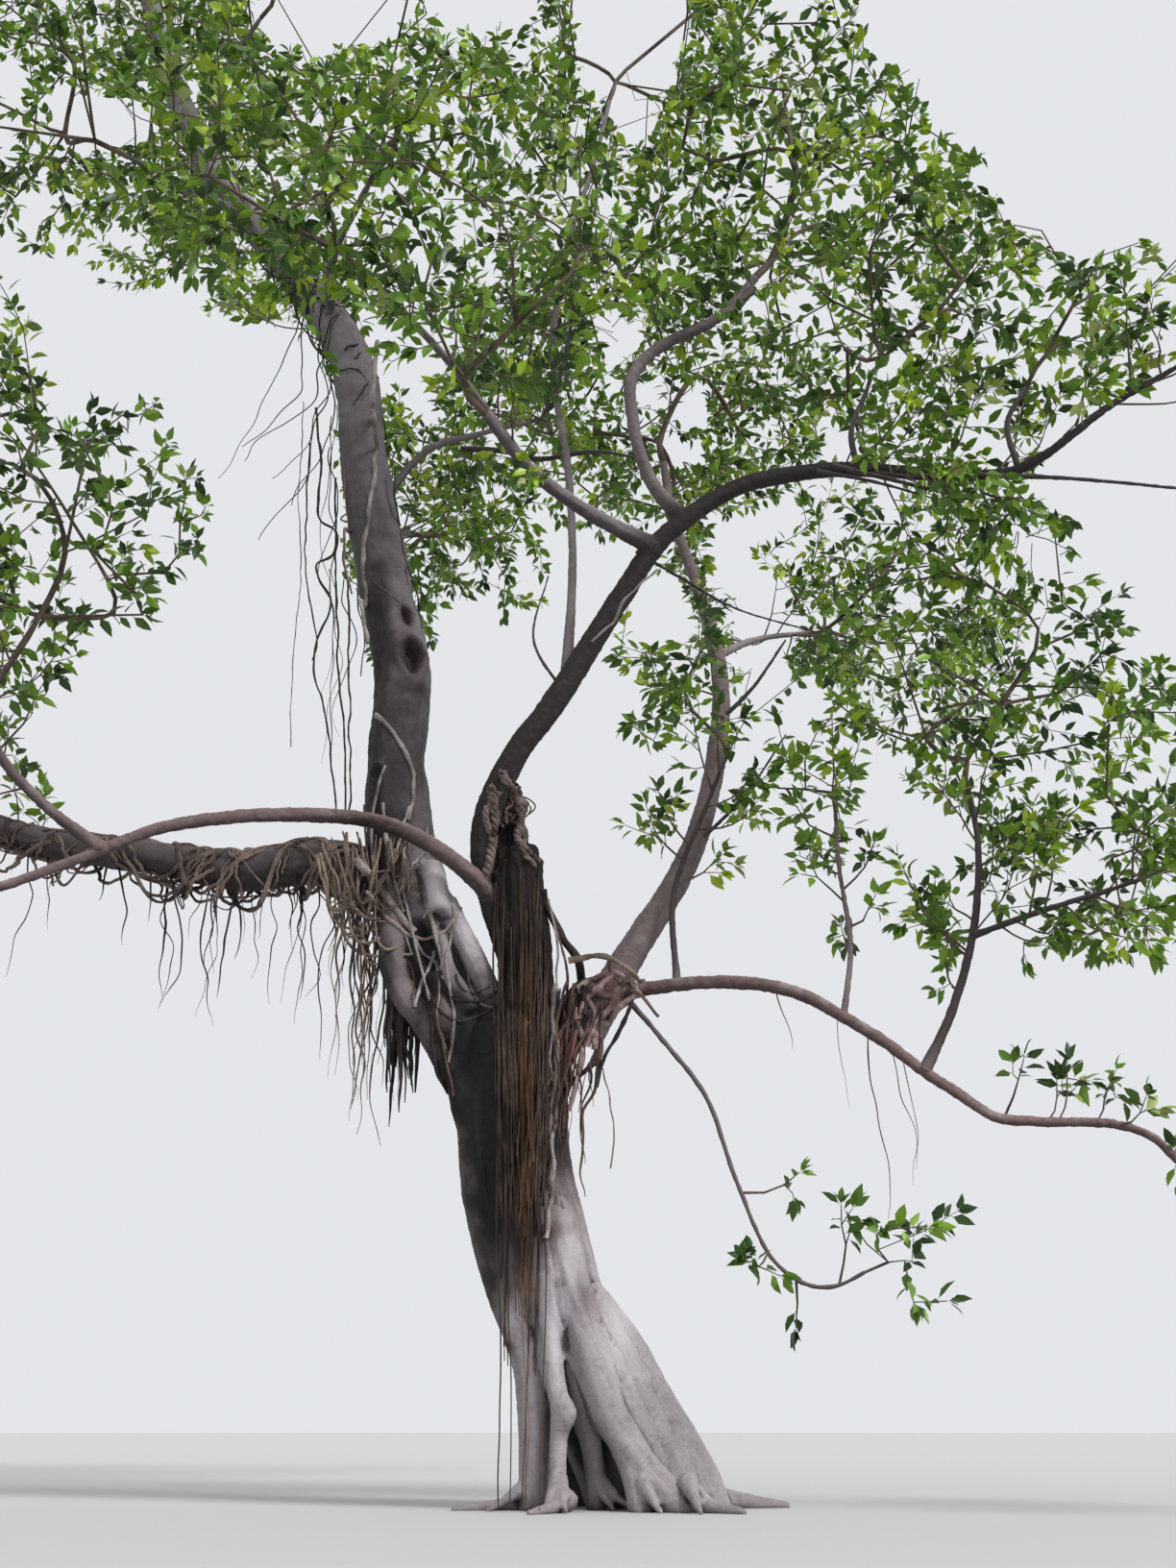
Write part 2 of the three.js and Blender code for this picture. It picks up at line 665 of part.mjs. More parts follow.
// A bundle of hanging strands that leave one short root and wander down to their own feet
function rootBundleSolid(bundle, random) {
  const top = vector(bundle.collarPoint);
  const foot = vector(bundle.foot);
  const stem = curveThrough([vector(bundle.start), top.clone().lerp(vector(bundle.start), 0.4), top]);
  const parts = [bentSolid(stem, taper(1.6 * bundle.thick, 1.5 * bundle.thick), 6, 3)];
  for (let i = 0; i < bundle.strands; i++) {
    const turn = ((i + 0.5) / bundle.strands) * 2 * Math.PI;
    const aside = new THREE.Vector3(bundle.spread[0] * Math.cos(turn), bundle.spread[1] * Math.sin(turn), 0);
    const drop = 1 - (0.45 * i) / bundle.strands;
    const end = top.clone().lerp(foot, drop).addScaledVector(aside, drop);
    const points = [0, 0.25, 0.6].map((share) => {
      const wander = bundle.spread[0] * 0.3 * (random() - 0.5);
      return top.clone().lerp(end, share).addScaledVector(aside, 0.7 * Math.sqrt(share) * (1 - share))
        .add(new THREE.Vector3(share ? wander : 0, 0, share ? 0 : bundle.thick));
    });
    const curve = curveThrough([...points, end]);
    const radiusAt = taper(0.6 * bundle.thick, 0.3 * bundle.thick);
    addObstacle(curve, radiusAt, 4);
    parts.push(bentSolid(curve, radiusAt, 3, 4));
  }
  return wasm.Manifold.union(parts);
}

const tree = new THREE.Group();

function addMesh(name, solid, colour) {
  const [hex, roughness] = colours[colour];
  const material = new THREE.MeshStandardMaterial({ color: hex, roughness, metalness: 0 });
  const mesh = new THREE.Mesh(geometryOf(solid), material);
  mesh.name = name;
  tree.add(mesh);
}

// Limbs, from the ground up: each is cut clear of every limb that is already there
const grown = [];

function clearOfGrown(solid) {
  return largest(grown.reduce((cut, limb) => cut.subtract(limb), solid));
}

const limbs = new Map();
addMesh("trunk", trunkSolid(), "trunk");
grown.push(trunkSolid(seat));

for (const bough of boughs) {
  const parent = limbs.get(bough.from);
  const start = parent ? parent.curve.getPointAt(bough.at) : vector(bough.start);
  const curve = curveThrough([start, ...bough.path.map(vector)]);
  const radiusAt = boughTaper(bough);
  addObstacle(curve, radiusAt, bough.rings);
  const solid = clearOfGrown(bentSolid(curve, radiusAt, bough.sides, bough.rings));
  addMesh(bough.name, solid, barkOf[bough.name] ?? "red");
  grown.push(bentSolid(curve, radiusAt, bough.sides, bough.rings, seat));
  limbs.set(bough.name, { ...bough, curve });
}

rootBundles.forEach((bundle, i) => {
  addMesh(bundle.name, clearOfGrown(rootBundleSolid(bundle, seeded(i + 71))), "roots");
});

masses.forEach((mass, i) => {
  mass.seed = i + 1;
  addMesh(mass.name, foliageSolid(mass, limbs.get(mass.bough)), "leaf");
});

export default tree;
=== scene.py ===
import json
import math
import bpy
import numpy as np
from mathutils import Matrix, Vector

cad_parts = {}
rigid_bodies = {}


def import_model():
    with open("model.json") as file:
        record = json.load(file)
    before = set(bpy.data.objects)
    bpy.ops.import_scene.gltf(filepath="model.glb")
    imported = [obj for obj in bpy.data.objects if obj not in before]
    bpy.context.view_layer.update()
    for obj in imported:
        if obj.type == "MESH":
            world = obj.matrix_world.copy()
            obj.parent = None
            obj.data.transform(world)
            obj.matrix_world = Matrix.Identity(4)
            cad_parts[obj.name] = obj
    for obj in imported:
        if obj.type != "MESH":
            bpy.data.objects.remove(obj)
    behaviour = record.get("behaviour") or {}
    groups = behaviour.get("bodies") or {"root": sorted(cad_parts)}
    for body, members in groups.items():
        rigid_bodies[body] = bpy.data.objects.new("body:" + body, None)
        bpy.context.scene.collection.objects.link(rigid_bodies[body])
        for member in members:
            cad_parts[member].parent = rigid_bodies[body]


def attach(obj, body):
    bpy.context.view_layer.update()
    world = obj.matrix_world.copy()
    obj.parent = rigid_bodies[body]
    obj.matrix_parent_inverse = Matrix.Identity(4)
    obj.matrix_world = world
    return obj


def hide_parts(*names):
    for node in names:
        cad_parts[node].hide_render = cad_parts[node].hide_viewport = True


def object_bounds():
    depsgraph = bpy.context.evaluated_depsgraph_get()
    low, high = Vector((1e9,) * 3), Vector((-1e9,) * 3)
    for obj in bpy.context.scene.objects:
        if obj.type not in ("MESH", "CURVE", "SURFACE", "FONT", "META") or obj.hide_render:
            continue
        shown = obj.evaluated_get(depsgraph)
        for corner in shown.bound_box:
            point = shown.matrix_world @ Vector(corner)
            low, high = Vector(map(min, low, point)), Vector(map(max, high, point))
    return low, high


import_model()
cadLow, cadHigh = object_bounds()
bpy.ops.object.select_all(action="DESELECT")


def note(stage):
    print("strangler fig:", stage, flush=True)


# Camera: low, in front of the tree and tilted up, as the photograph was taken
cameraView = {"place": (-0.12, -6.5, 0.29), "tiltUp": 22, "lens": 36.4}
photoSize = (1224, 1632)


def addCamera():
    bpy.ops.object.camera_add(location=cameraView["place"])
    camera = bpy.context.object
    camera.name = "photo_camera"
    camera.rotation_euler = (math.radians(90 + cameraView["tiltUp"]), 0, 0)
    camera.data.lens = cameraView["lens"]
    camera.data.sensor_width = 36
    bpy.context.scene.camera = camera


# Light: a pale room, one soft key from the right and in front, and a weaker fill from the left
studio = {
    "skyColour": (0.88, 0.90, 0.93),
    "skyStrength": 0.88,
    "keyStrength": 3.0,
    "keyTurn": (50, 0, 52),
    "keySoftness": 18,
    "fillStrength": 0.2,
    "fillTurn": (62, 0, -70),
    "floorColour": (0.46, 0.46, 0.45),
    "floorRadius": 60,
}


def addSun(name, strength, turn, softness):
    bpy.ops.object.light_add(type="SUN", rotation=[math.radians(angle) for angle in turn])
    sun = bpy.context.object
    sun.name = name
    sun.data.energy = strength
    sun.data.angle = math.radians(softness)


def addStudio():
    look = studio
    world = bpy.data.worlds.new("pale_room")
    world.use_nodes = True
    backdrop = world.node_tree.nodes["Background"]
    backdrop.inputs["Color"].default_value = (*look["skyColour"], 1)
    backdrop.inputs["Strength"].default_value = look["skyStrength"]
    bpy.context.scene.world = world
    bpy.context.scene.view_settings.view_transform = "Standard"
    addSun("key_light", look["keyStrength"], look["keyTurn"], look["keySoftness"])
    addSun("fill_light", look["fillStrength"], look["fillTurn"], look["keySoftness"])
    bpy.ops.mesh.primitive_circle_add(vertices=96, radius=look["floorRadius"], fill_type="NGON")
    floor = bpy.context.object
    floor.name = "studio_floor"
    material = bpy.data.materials.new("floor_paper")
    material.use_nodes = True
    shader = material.node_tree.nodes["Principled BSDF"]
    shader.inputs["Base Color"].default_value = (*look["floorColour"], 1)
    shader.inputs["Roughness"].default_value = 0.9
    floor.data.materials.append(material)


# Small tools for pieces
def makeActive(piece):
    bpy.ops.object.select_all(action="DESELECT")
    piece.select_set(True)
    bpy.context.view_layer.objects.active = piece


def applyModifier(piece, kind, **settings):
    makeActive(piece)
    modifier = piece.modifiers.new(kind.title(), kind)
    for setting, value in settings.items():
        setattr(modifier, setting, value)
    bpy.ops.object.modifier_apply(modifier=modifier.name)


def vertexPlaces(piece):
    places = np.empty(len(piece.data.vertices) * 3, dtype=np.float32)
    piece.data.vertices.foreach_get("co", places)
    return places.reshape(-1, 3).astype(float)


def vertexNormals(piece):
    normals = np.empty(len(piece.data.vertices) * 3, dtype=np.float32)
    piece.data.vertex_normals.foreach_get("vector", normals)
    return normals.reshape(-1, 3).astype(float)


def setVertexPlaces(piece, places):
    piece.data.vertices.foreach_set("co", places.astype(np.float32).ravel())
    piece.data.update()


def unit(vectors):
    return vectors / np.maximum(np.linalg.norm(vectors, axis=-1, keepdims=True), 1e-9)


def pieceFromArrays(name, corners, triangles):
    mesh = bpy.data.meshes.new(name)
    mesh.vertices.add(len(corners))
    mesh.vertices.foreach_set("co", corners.astype(np.float32).ravel())
    mesh.loops.add(triangles.size)
    mesh.loops.foreach_set("vertex_index", triangles.astype(np.int32).ravel())
    mesh.polygons.add(len(triangles))
    mesh.polygons.foreach_set("loop_start", np.arange(0, triangles.size, 3, dtype=np.int32))
    mesh.update(calc_edges=True)
    mesh.validate()
    piece = bpy.data.objects.new(name, mesh)
    bpy.context.collection.objects.link(piece)
    return piece


def finishPiece(piece, slot, material, *nodes):
    makeActive(piece)
    bpy.ops.object.shade_smooth()
    piece.data.materials.clear()
    piece.data.materials.append(material)
    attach(piece, "root")
    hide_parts(*nodes)
    note(f"{piece.name}: {sum(len(face.vertices) - 2 for face in piece.data.polygons)} triangles")


def nodesOf(family, names):
    return [f"{family}_{name}" for name in names]


# Smooth noise from -1 to 1, with lumps about one unit across
latticePrimes = (73856093, 19349663, 83492791)


def lumpNoise(places, seed):
    cell = np.floor(places).astype(np.int64)
    part = places - cell
    part = part * part * (3 - 2 * part)
    total = np.zeros(len(places))
    for corner in range(8):
        step = np.array([corner & 1, corner >> 1 & 1, corner >> 2 & 1])
        mixed = ((cell + step) * latticePrimes).sum(axis=1) + seed * 9176263
        mixed = (mixed ^ mixed >> 13) * 1274126177 & 0xFFFFFFFF
        mixed = (mixed ^ mixed >> 16) * 668265263 & 0xFFFFFFFF
        value = (mixed ^ mixed >> 15) / 2**31 - 1
        total += value * np.where(step, part, 1 - part).prod(axis=1)
    return total


def layeredNoise(places, layers, seed):
    return sum(lumpNoise(places * 2**k, seed + k) / 2**k for k in range(layers))


# One value for each mark on a line; each lane has its own
def lineNoise(marks, lane, seed, shift=0.0):
    places = np.column_stack([marks, np.full(len(marks), lane), np.zeros(len(marks))])
    return layeredNoise(places + shift, 2, seed)


# Routes: the centripetal curves that the solids are bent along, resampled at even steps
def smoothRoute(points, steps=16):
    points = np.array(points, float)
    ends = np.vstack([2 * points[0] - points[1], points, 2 * points[-1] - points[-2]])
    share = np.linspace(0, 1, steps, endpoint=False)[:, None]
    parts = []
    for before, start, end, after in zip(ends, ends[1:], ends[2:], ends[3:]):
        first, middle, last = (
            np.linalg.norm(b - a) ** 0.5 for a, b in ((before, start), (start, end), (end, after))
        )
        leave = ((start - before) / first - (end - before) / (first + middle)) * middle + end - start
        arrive = end - start + ((after - end) / last - (after - start) / (middle + last)) * middle
        parts.append(
            (2 * share**3 - 3 * share**2 + 1) * start
            + (share**3 - 2 * share**2 + share) * leave
            + (3 * share**2 - 2 * share**3) * end
            + (share**3 - share**2) * arrive
        )
    return np.vstack([*parts, points[-1:]])


def lengthsAlong(route):
    return np.concatenate([[0], np.cumsum(np.linalg.norm(np.diff(route, axis=0), axis=1))])


def placesAlong(marks, along, route):
    return np.stack([np.interp(marks, along, route[:, axis]) for axis in range(3)], axis=-1)


def evenRoute(route, gap):
    along = lengthsAlong(route)
    count = max(int(along[-1] / gap), 2) + 1
    return placesAlong(np.linspace(0, along[-1], count), along, route)


# A limb: its even route and radii, and for each point two directions square to it, carried along untwisted
def makeLimb(points, radiusAt, tone):
    route = evenRoute(smoothRoute(points), 0.02)
    headings = unit(np.gradient(route, axis=0))
    across = np.empty_like(route)
    guide = np.array([0.0, -1.0, 0.0]) if abs(headings[0][1]) < 0.9 else np.array([1.0, 0.0, 0.0])
    for i, heading in enumerate(headings):
        guide = guide - heading * guide.dot(heading)
        guide = guide / np.linalg.norm(guide)
        across[i] = guide
    return {
        "route": route,
        "radii": radiusAt(np.linspace(0, 1, len(route))),
        "headings": headings,
        "across": across,
        "beside": np.cross(headings, across),
        "along": lengthsAlong(route),
        "tone": tone,
        "rootTone": tone,
    }


def strandOf(limb):
    return limb["route"], limb["radii"]


def limbIndex(limb, share):
    return int(round(share * (len(limb["route"]) - 1)))


# A place on a limb's bark: turn 0 faces the front, and 90 is the right of a rising limb
def onLimb(limb, share, turn, lift=0.0):
    i = limbIndex(limb, share)
    heading = limb["headings"][i]
    front = unit(np.array([0.0, -1.0, 0.0]) + heading * heading[1])
    side = np.cross(heading, front)
    angle = math.radians(turn)
    reach = limb["radii"][i] + lift
    return limb["route"][i] + reach * (math.cos(angle) * front + math.sin(angle) * side)


def straightTaper(start, end):
    return lambda share: start + (end - start) * share


# Tubes along routes, made as one curve with a bevel and then turned into a mesh
def tubePiece(name, strands, roundness):
    curve = bpy.data.curves.new(name, "CURVE")
    curve.dimensions = "3D"
    curve.bevel_depth = 1
    curve.bevel_resolution = roundness
    curve.use_fill_caps = True
    for route, radii in strands:
        spline = curve.splines.new("POLY")
        spline.points.add(len(route) - 1)
        spline.points.foreach_set("co", np.hstack([route, np.ones((len(route), 1))]).ravel())
        spline.points.foreach_set("radius", np.broadcast_to(radii, len(route)).astype(float))
    piece = bpy.data.objects.new(name, curve)
    bpy.context.collection.objects.link(piece)
    makeActive(piece)
    bpy.ops.object.convert(target="MESH")
    piece = bpy.context.object
    piece.name = name
    return piece


def fusedPiece(name, strands, voxel, smoothing):
    piece = tubePiece(name, strands, 6)
    applyModifier(piece, "REMESH", mode="VOXEL", voxel_size=voxel)
    applyModifier(piece, "SMOOTH", factor=0.5, iterations=smoothing)
    return piece


# How far places are from the surface of limbs, for a stretch of the places at a time
def gapsTo(route, radii, places, stretch):
    for start in range(0, len(places), stretch):
        part = slice(start, start + stretch)
        gaps = np.square(places[part]).sum(axis=1)[:, None] + np.square(route).sum(axis=1)
        yield part, np.sqrt(np.maximum(gaps - 2 * places[part] @ route.T, 0)) - radii


# The limb that each vertex lies on: its place across it and along it, its radius there and its tone
def barkPlaces(places, limbs):
    best = np.full(len(places), np.inf)
    owner = np.zeros(len(places), dtype=int)
    sample = np.zeros(len(places), dtype=int)
    for number, limb in enumerate(limbs):
        for part, gaps in gapsTo(*strandOf(limb), places, 20000):
            nearest = gaps.argmin(axis=1)
            gap = gaps[np.arange(len(gaps)), nearest]
            closer = gap < best[part]
            best[part] = np.where(closer, gap, best[part])
            owner[part] = np.where(closer, number, owner[part])
            sample[part] = np.where(closer, nearest, sample[part])
    across = np.zeros((len(places), 2))
    along = np.zeros(len(places))
    radius = np.zeros(len(places))
    tone = np.zeros((len(places), 2))
    for number, limb in enumerate(limbs):
        mine = owner == number
        at = sample[mine]
        offset = places[mine] - limb["route"][at]
        radius[mine] = limb["radii"][at]
        across[mine, 0] = (offset * limb["across"][at]).sum(axis=1)
        across[mine, 1] = (offset * limb["beside"][at]).sum(axis=1)
        along[mine] = limb["along"][at] + (offset * limb["headings"][at]).sum(axis=1) + 7.3 * number
        grown = np.clip(limb["along"][at] / (3.5 * limb["radii"][0]), 0, 1)[:, None]
        tone[mine] = np.array(limb["rootTone"]) * (1 - grown) + np.array(limb["tone"]) * grown
    return {"across": across, "along": along, "radius": radius, "tone": tone}


def neighbourMeans(piece, values, rounds):
    edges = np.empty(len(piece.data.edges) * 2, dtype=np.int32)
    piece.data.edges.foreach_get("vertices", edges)
    one, other = edges.reshape(-1, 2).T
    size = len(values)
    count = np.maximum(np.bincount(one, minlength=size) + np.bincount(other, minlength=size), 1)
    values = values.reshape(size, -1)
    for _ in range(rounds):
        columns = [
            np.bincount(one, column[other], size) + np.bincount(other, column[one], size)
            for column in values.T
        ]
        values = np.stack(columns, axis=1) / count[:, None]
    return values


def addNumbers(piece, name, values):
    kind = "FLOAT" if values.ndim == 1 else "FLOAT_VECTOR"
    attribute = piece.data.attributes.new(name, kind, "POINT")
    field = "value" if values.ndim == 1 else "vector"
    attribute.data.foreach_set(field, values.astype(np.float32).ravel())


def readNumbers(piece, name):
    values = np.empty(len(piece.data.vertices), dtype=np.float32)
    piece.data.attributes[name].data.foreach_get("value", values)
    return values


def writeNumbers(piece, name, values):
    piece.data.attributes[name].data.foreach_set("value", values.astype(np.float32))


# Relief that follows the limbs, and the numbers that the bark materials read
barkRelief = {
    "fluteShare": 0.09,
    "fluteScale": (1.5, 1.5, 1.6),
    "lumpShare": 0.05,
    "lumpScale": (1.1, 1.1, 7),
    "limit": 0.018,
    "fine": 0.0025,
    "fineScale": 55,
    "footFade": 0.05,
    "hollowDepth": 0.006,
    "hollowRounds": 14,
    "toneRounds": 10,
    "tiltRounds": 3,
    "paintedTiltShade": 0.62,
}


def reliefBark(piece, limbs, seed, strength=1.0, kept=1.0):
    look = barkRelief
    places = vertexPlaces(piece)
    normals = vertexNormals(piece)
    bark = barkPlaces(places, limbs)
    onBark = np.column_stack([bark["across"] / bark["radius"][:, None], bark["along"]])
    flutes = layeredNoise(onBark * look["fluteScale"], 2, seed)
    lumps = layeredNoise(onBark * look["lumpScale"], 2, seed + 11)
    fine = layeredNoise(places * look["fineScale"], 2, seed + 23)
    lift = bark["radius"] * (look["fluteShare"] * flutes + look["lumpShare"] * lumps)
    lift = np.minimum(lift, look["limit"]) * strength + look["fine"] * fine * strength
    fade = np.clip(places[:, 2] / look["footFade"], 0, 1)
    setVertexPlaces(piece, places + normals * (lift * fade)[:, None])
    if kept < 1:
        applyModifier(piece, "DECIMATE", ratio=kept)
    places = vertexPlaces(piece)
    bark = barkPlaces(places, limbs)
    normals = vertexNormals(piece)
    # painted shade: how deep each vertex lies in a hollow, which the materials darken towards near-black
    smooth = neighbourMeans(piece, places, look["hollowRounds"])
    depth = ((smooth - places) * normals).sum(axis=1)
    addNumbers(piece, "hollowShade", np.clip(depth / look["hollowDepth"], 0, 1))
    tone = neighbourMeans(piece, bark["tone"], look["toneRounds"])
    # painted light and shade: bark that faces up gets less shade and bark that faces down gets more
    tilt = neighbourMeans(piece, normals[:, 2], look["tiltRounds"])[:, 0]
    tone[:, 1] = np.clip(tone[:, 1] - tilt * look["paintedTiltShade"] * (1.25 - tone[:, 1]), 0, 1.5)
    addNumbers(piece, "redness", tone[:, 0])
    addNumbers(piece, "shade", tone[:, 1])
    addNumbers(piece, "barkPlace", np.column_stack([bark["across"], bark["along"]]))


# Materials: nodes on the object's own coordinates or on the numbers that the pieces carry
def addNode(tree, kind, inputs=None, **settings):
    node = tree.nodes.new(kind)
    for setting, value in settings.items():
        setattr(node, setting, value)
    for name, value in (inputs or {}).items():
        if isinstance(value, bpy.types.NodeSocket):
            tree.links.new(value, node.inputs[name])
        else:
            node.inputs[name].default_value = value
    return node


def numberOf(tree, name):
    return addNode(tree, "ShaderNodeAttribute", attribute_name=name).outputs["Fac"]


def stretched(tree, vector, scale):
    node = addNode(tree, "ShaderNodeVectorMath", {0: vector, 1: scale}, operation="MULTIPLY")
    return node.outputs[0]


def noiseOf(tree, vector, scale, detail, roughness):
    sockets = {"Vector": vector, "Scale": scale, "Detail": detail, "Roughness": roughness}
    return addNode(tree, "ShaderNodeTexNoise", sockets).outputs["Fac"]


def between(tree, value, low, high, start=0.0, end=1.0):
    sockets = {"Value": value, "From Min": low, "From Max": high, "To Min": start, "To Max": end}
    return addNode(tree, "ShaderNodeMapRange", sockets, clamp=True).outputs["Result"]


def mixColours(tree, factor, first, second, blend="MIX"):
    node = addNode(tree, "ShaderNodeMix", data_type="RGBA", blend_type=blend)
    for place, value in ((0, factor), (6, first), (7, second)):
        if isinstance(value, bpy.types.NodeSocket):
            tree.links.new(value, node.inputs[place])
        else:
            node.inputs[place].default_value = value if place == 0 else (*value, 1)
    return node.outputs[2]


# A tint laid over a colour, as much as a pattern says between two of its values
def tinted(tree, colour, pattern, limits, tint, blend="MIX"):
    return mixColours(tree, between(tree, pattern, *limits), colour, tint, blend)


def joined(tree, first, second, operation="MULTIPLY"):
    return addNode(tree, "ShaderNodeMath", {0: first, 1: second}, operation=operation).outputs[0]


def newMaterial(name):
    material = bpy.data.materials.new(name)
    material.use_nodes = True
    return material, material.node_tree, material.node_tree.nodes["Principled BSDF"]


def colourAndRelief(tree, shader, colour, roughness, height, depth):
    bump = addNode(tree, "ShaderNodeBump", {"Height": height, "Strength": 0.8, "Distance": depth})
    tree.links.new(colour, shader.inputs["Base Color"])
    tree.links.new(roughness, shader.inputs["Roughness"])
    tree.links.new(bump.outputs["Normal"], shader.inputs["Normal"])
    shader.inputs["Specular IOR Level"].default_value = 0.3


# Fig bark: smooth and pale, redder or darker by limb, with blotches, cross-lines, painted shade in hollows,
# and painted shadow and painted light set by the shade number
barkLook = {
    "pale": (0.345, 0.318, 0.34),
    "red": (0.20, 0.115, 0.105),
    "darkPale": (0.028, 0.023, 0.028),
    "darkRed": (0.032, 0.017, 0.016),
    "lichen": (0.47, 0.45, 0.44),
    "blotchScale": 7,
    "grainScale": 70,
    "lineScale": (16, 16, 130),
    "streakScale": (34, 34, 3.2),
    "bumpDepth": 0.004,
}

# What lies over that colour: pattern, its limits and the tint's share at each, tint, way of laying it
barkLayers = [
    ("patches", (0.55, 0.72, 0, 0.5), (0.15, 0.125, 0.12), "MIX"),
    ("streaks", (0.45, 0.72, 0, 0.4), (0.5, 0.46, 0.44), "MULTIPLY"),
    ("lines", (0.58, 0.68, 0, 0.35), (0.42, 0.36, 0.33), "MULTIPLY"),
    ("grain", (0.3, 0.7, 0.5, 0), (0.6, 0.57, 0.56), "MULTIPLY"),
    # painted shadow: shade above 0.95 mixes towards near-black, for the black recess at the fork and the
    # darkest undersides
    ("shade", (0.95, 1.6, 0, 0.96), (0.005, 0.004, 0.005), "MIX"),
    # painted light: shade below zero mixes towards a pale colour, for sunlit patches
    ("shade", (-1, 0, 0.9, 0), (0.60, 0.56, 0.585), "MIX"),
    # painted shade in the hollows
    ("hollowShade", (0.25, 1, 0, 0.85), (0.014, 0.011, 0.011), "MIX"),
]


def figBark():
    look = barkLook
    material, tree, shader = newMaterial("fig_bark")
    place = addNode(tree, "ShaderNodeTexCoord").outputs["Object"]
    onBark = addNode(tree, "ShaderNodeAttribute", attribute_name="barkPlace").outputs["Vector"]
    patterns = {
        "patches": noiseOf(tree, place, look["blotchScale"] * 2.7, 4, 0.6),
        "streaks": noiseOf(tree, stretched(tree, onBark, look["streakScale"]), 1, 4, 0.6),
        "lines": noiseOf(tree, stretched(tree, onBark, look["lineScale"]), 1, 3, 0.6),
        "grain": noiseOf(tree, place, look["grainScale"], 5, 0.7),
        "shade": numberOf(tree, "shade"),
        "hollowShade": numberOf(tree, "hollowShade"),
    }
    redness = numberOf(tree, "redness")
    light = mixColours(tree, redness, look["pale"], look["red"])
    deep = mixColours(tree, redness, look["darkPale"], look["darkRed"])
    # the shade number darkens the colour: partly the limbs' own darker bark and real stains, partly painted
    # shade
    colour = mixColours(tree, between(tree, patterns["shade"], 0, 1, 0, 0.92), light, deep)
    blotches = between(tree, noiseOf(tree, place, look["blotchScale"], 5, 0.62), 0.52, 0.66, 0, 0.5)
    inLight = between(tree, patterns["shade"], 0, 0.8, 1, 0)
    colour = mixColours(tree, joined(tree, blotches, inLight), colour, look["lichen"])
    for name, limits, tint, blend in barkLayers:
        colour = tinted(tree, colour, patterns[name], limits, tint, blend)
    relief = joined(tree, joined(tree, patterns["lines"], 0.45), joined(tree, patterns["grain"], 0.5), "ADD")
    relief = joined(tree, relief, joined(tree, patterns["streaks"], 0.35), "ADD")
    roughness = between(tree, patterns["patches"], 0.3, 0.7, 0.62, 0.85)
    colourAndRelief(tree, shader, colour, roughness, relief, look["bumpDepth"])
    return material


# Rotten roots of the broken stub: near-black and brown fibres, orange in one band, a few pale ones
fibreLook = {
    "dark": (0.009, 0.006, 0.006),
    "brown": (0.036, 0.022, 0.016),
    "orange": (0.25, 0.105, 0.025),
    "pale": (0.17, 0.135, 0.11),
    "grainTint": (0.4, 0.36, 0.34),
    "hollowShade": (0.005, 0.004, 0.004),
    "bandPlace": -0.362,
    "bandWidth": (0.012, 0.055),
    "bandTop": (1.85, 2.1),
    "darkTop": (1.9, 2.4),
    "fibreScale": (95, 95, 2.2),
    "bandScale": (30, 30, 0.9),
    "bumpDepth": 0.010,
}


def rottenFibres():
    look = fibreLook
    material, tree, shader = newMaterial("rotten_fibres")
    place = addNode(tree, "ShaderNodeTexCoord").outputs["Object"]
    parts = addNode(tree, "ShaderNodeSeparateXYZ", {"Vector": place}).outputs
    aside = joined(tree, parts["X"], look["bandPlace"], "SUBTRACT")
    aside = addNode(tree, "ShaderNodeMath", {0: aside}, operation="ABSOLUTE").outputs[0]
    fibres = noiseOf(tree, stretched(tree, place, look["fibreScale"]), 1, 3, 0.6)
    bands = noiseOf(tree, stretched(tree, place, look["bandScale"]), 1, 3, 0.55)
    grain = noiseOf(tree, place, 60, 5, 0.7)
    colour = mixColours(tree, between(tree, fibres, 0.40, 0.66), look["dark"], look["brown"])
    orange = joined(tree, between(tree, bands, 0.46, 0.62), between(tree, fibres, 0.44, 0.58))
    orange = joined(tree, orange, between(tree, aside, *look["bandWidth"], 1, 0.10))
    orange = joined(tree, orange, between(tree, parts["Z"], *look["bandTop"], 1, 0.12))
    colour = mixColours(tree, orange, colour, look["orange"])
    pale = joined(tree, between(tree, fibres, 0.62, 0.68), between(tree, bands, 0.46, 0.36))
    colour = mixColours(tree, pale, colour, look["pale"])
    colour = tinted(tree, colour, grain, (0.35, 0.65, 0.7, 0), look["grainTint"], "MULTIPLY")
    colour = tinted(tree, colour, parts["Z"], (*look["darkTop"], 0, 0.8), look["dark"])
    # painted shade in the fibres' hollows and in the stub's hole
    colour = tinted(tree, colour, numberOf(tree, "hollowShade"), (0.2, 0.9, 0, 0.9), look["hollowShade"])
    relief = joined(tree, fibres, joined(tree, grain, 0.4), "ADD")
    roughness = between(tree, grain, 0.3, 0.7, 0.72, 0.95)
    colourAndRelief(tree, shader, colour, roughness, relief, look["bumpDepth"])
    return material


# Aerial roots and twigs: one colour with a darker grain along them
def strandMaterial(name, light, dark, scale, bumpDepth):
    material, tree, shader = newMaterial(name)
    place = addNode(tree, "ShaderNodeTexCoord").outputs["Object"]
    patches = noiseOf(tree, place, scale, 4, 0.6)
    grain = noiseOf(tree, place, scale * 12, 3, 0.6)
    colour = mixColours(tree, between(tree, patches, 0.36, 0.64), dark, light)
    colour = tinted(tree, colour, grain, (0.35, 0.65, 0.6, 0), (0.45, 0.41, 0.38), "MULTIPLY")
    colourAndRelief(tree, shader, colour, between(tree, grain, 0.3, 0.7, 0.65, 0.85), grain, bumpDepth)
    return material


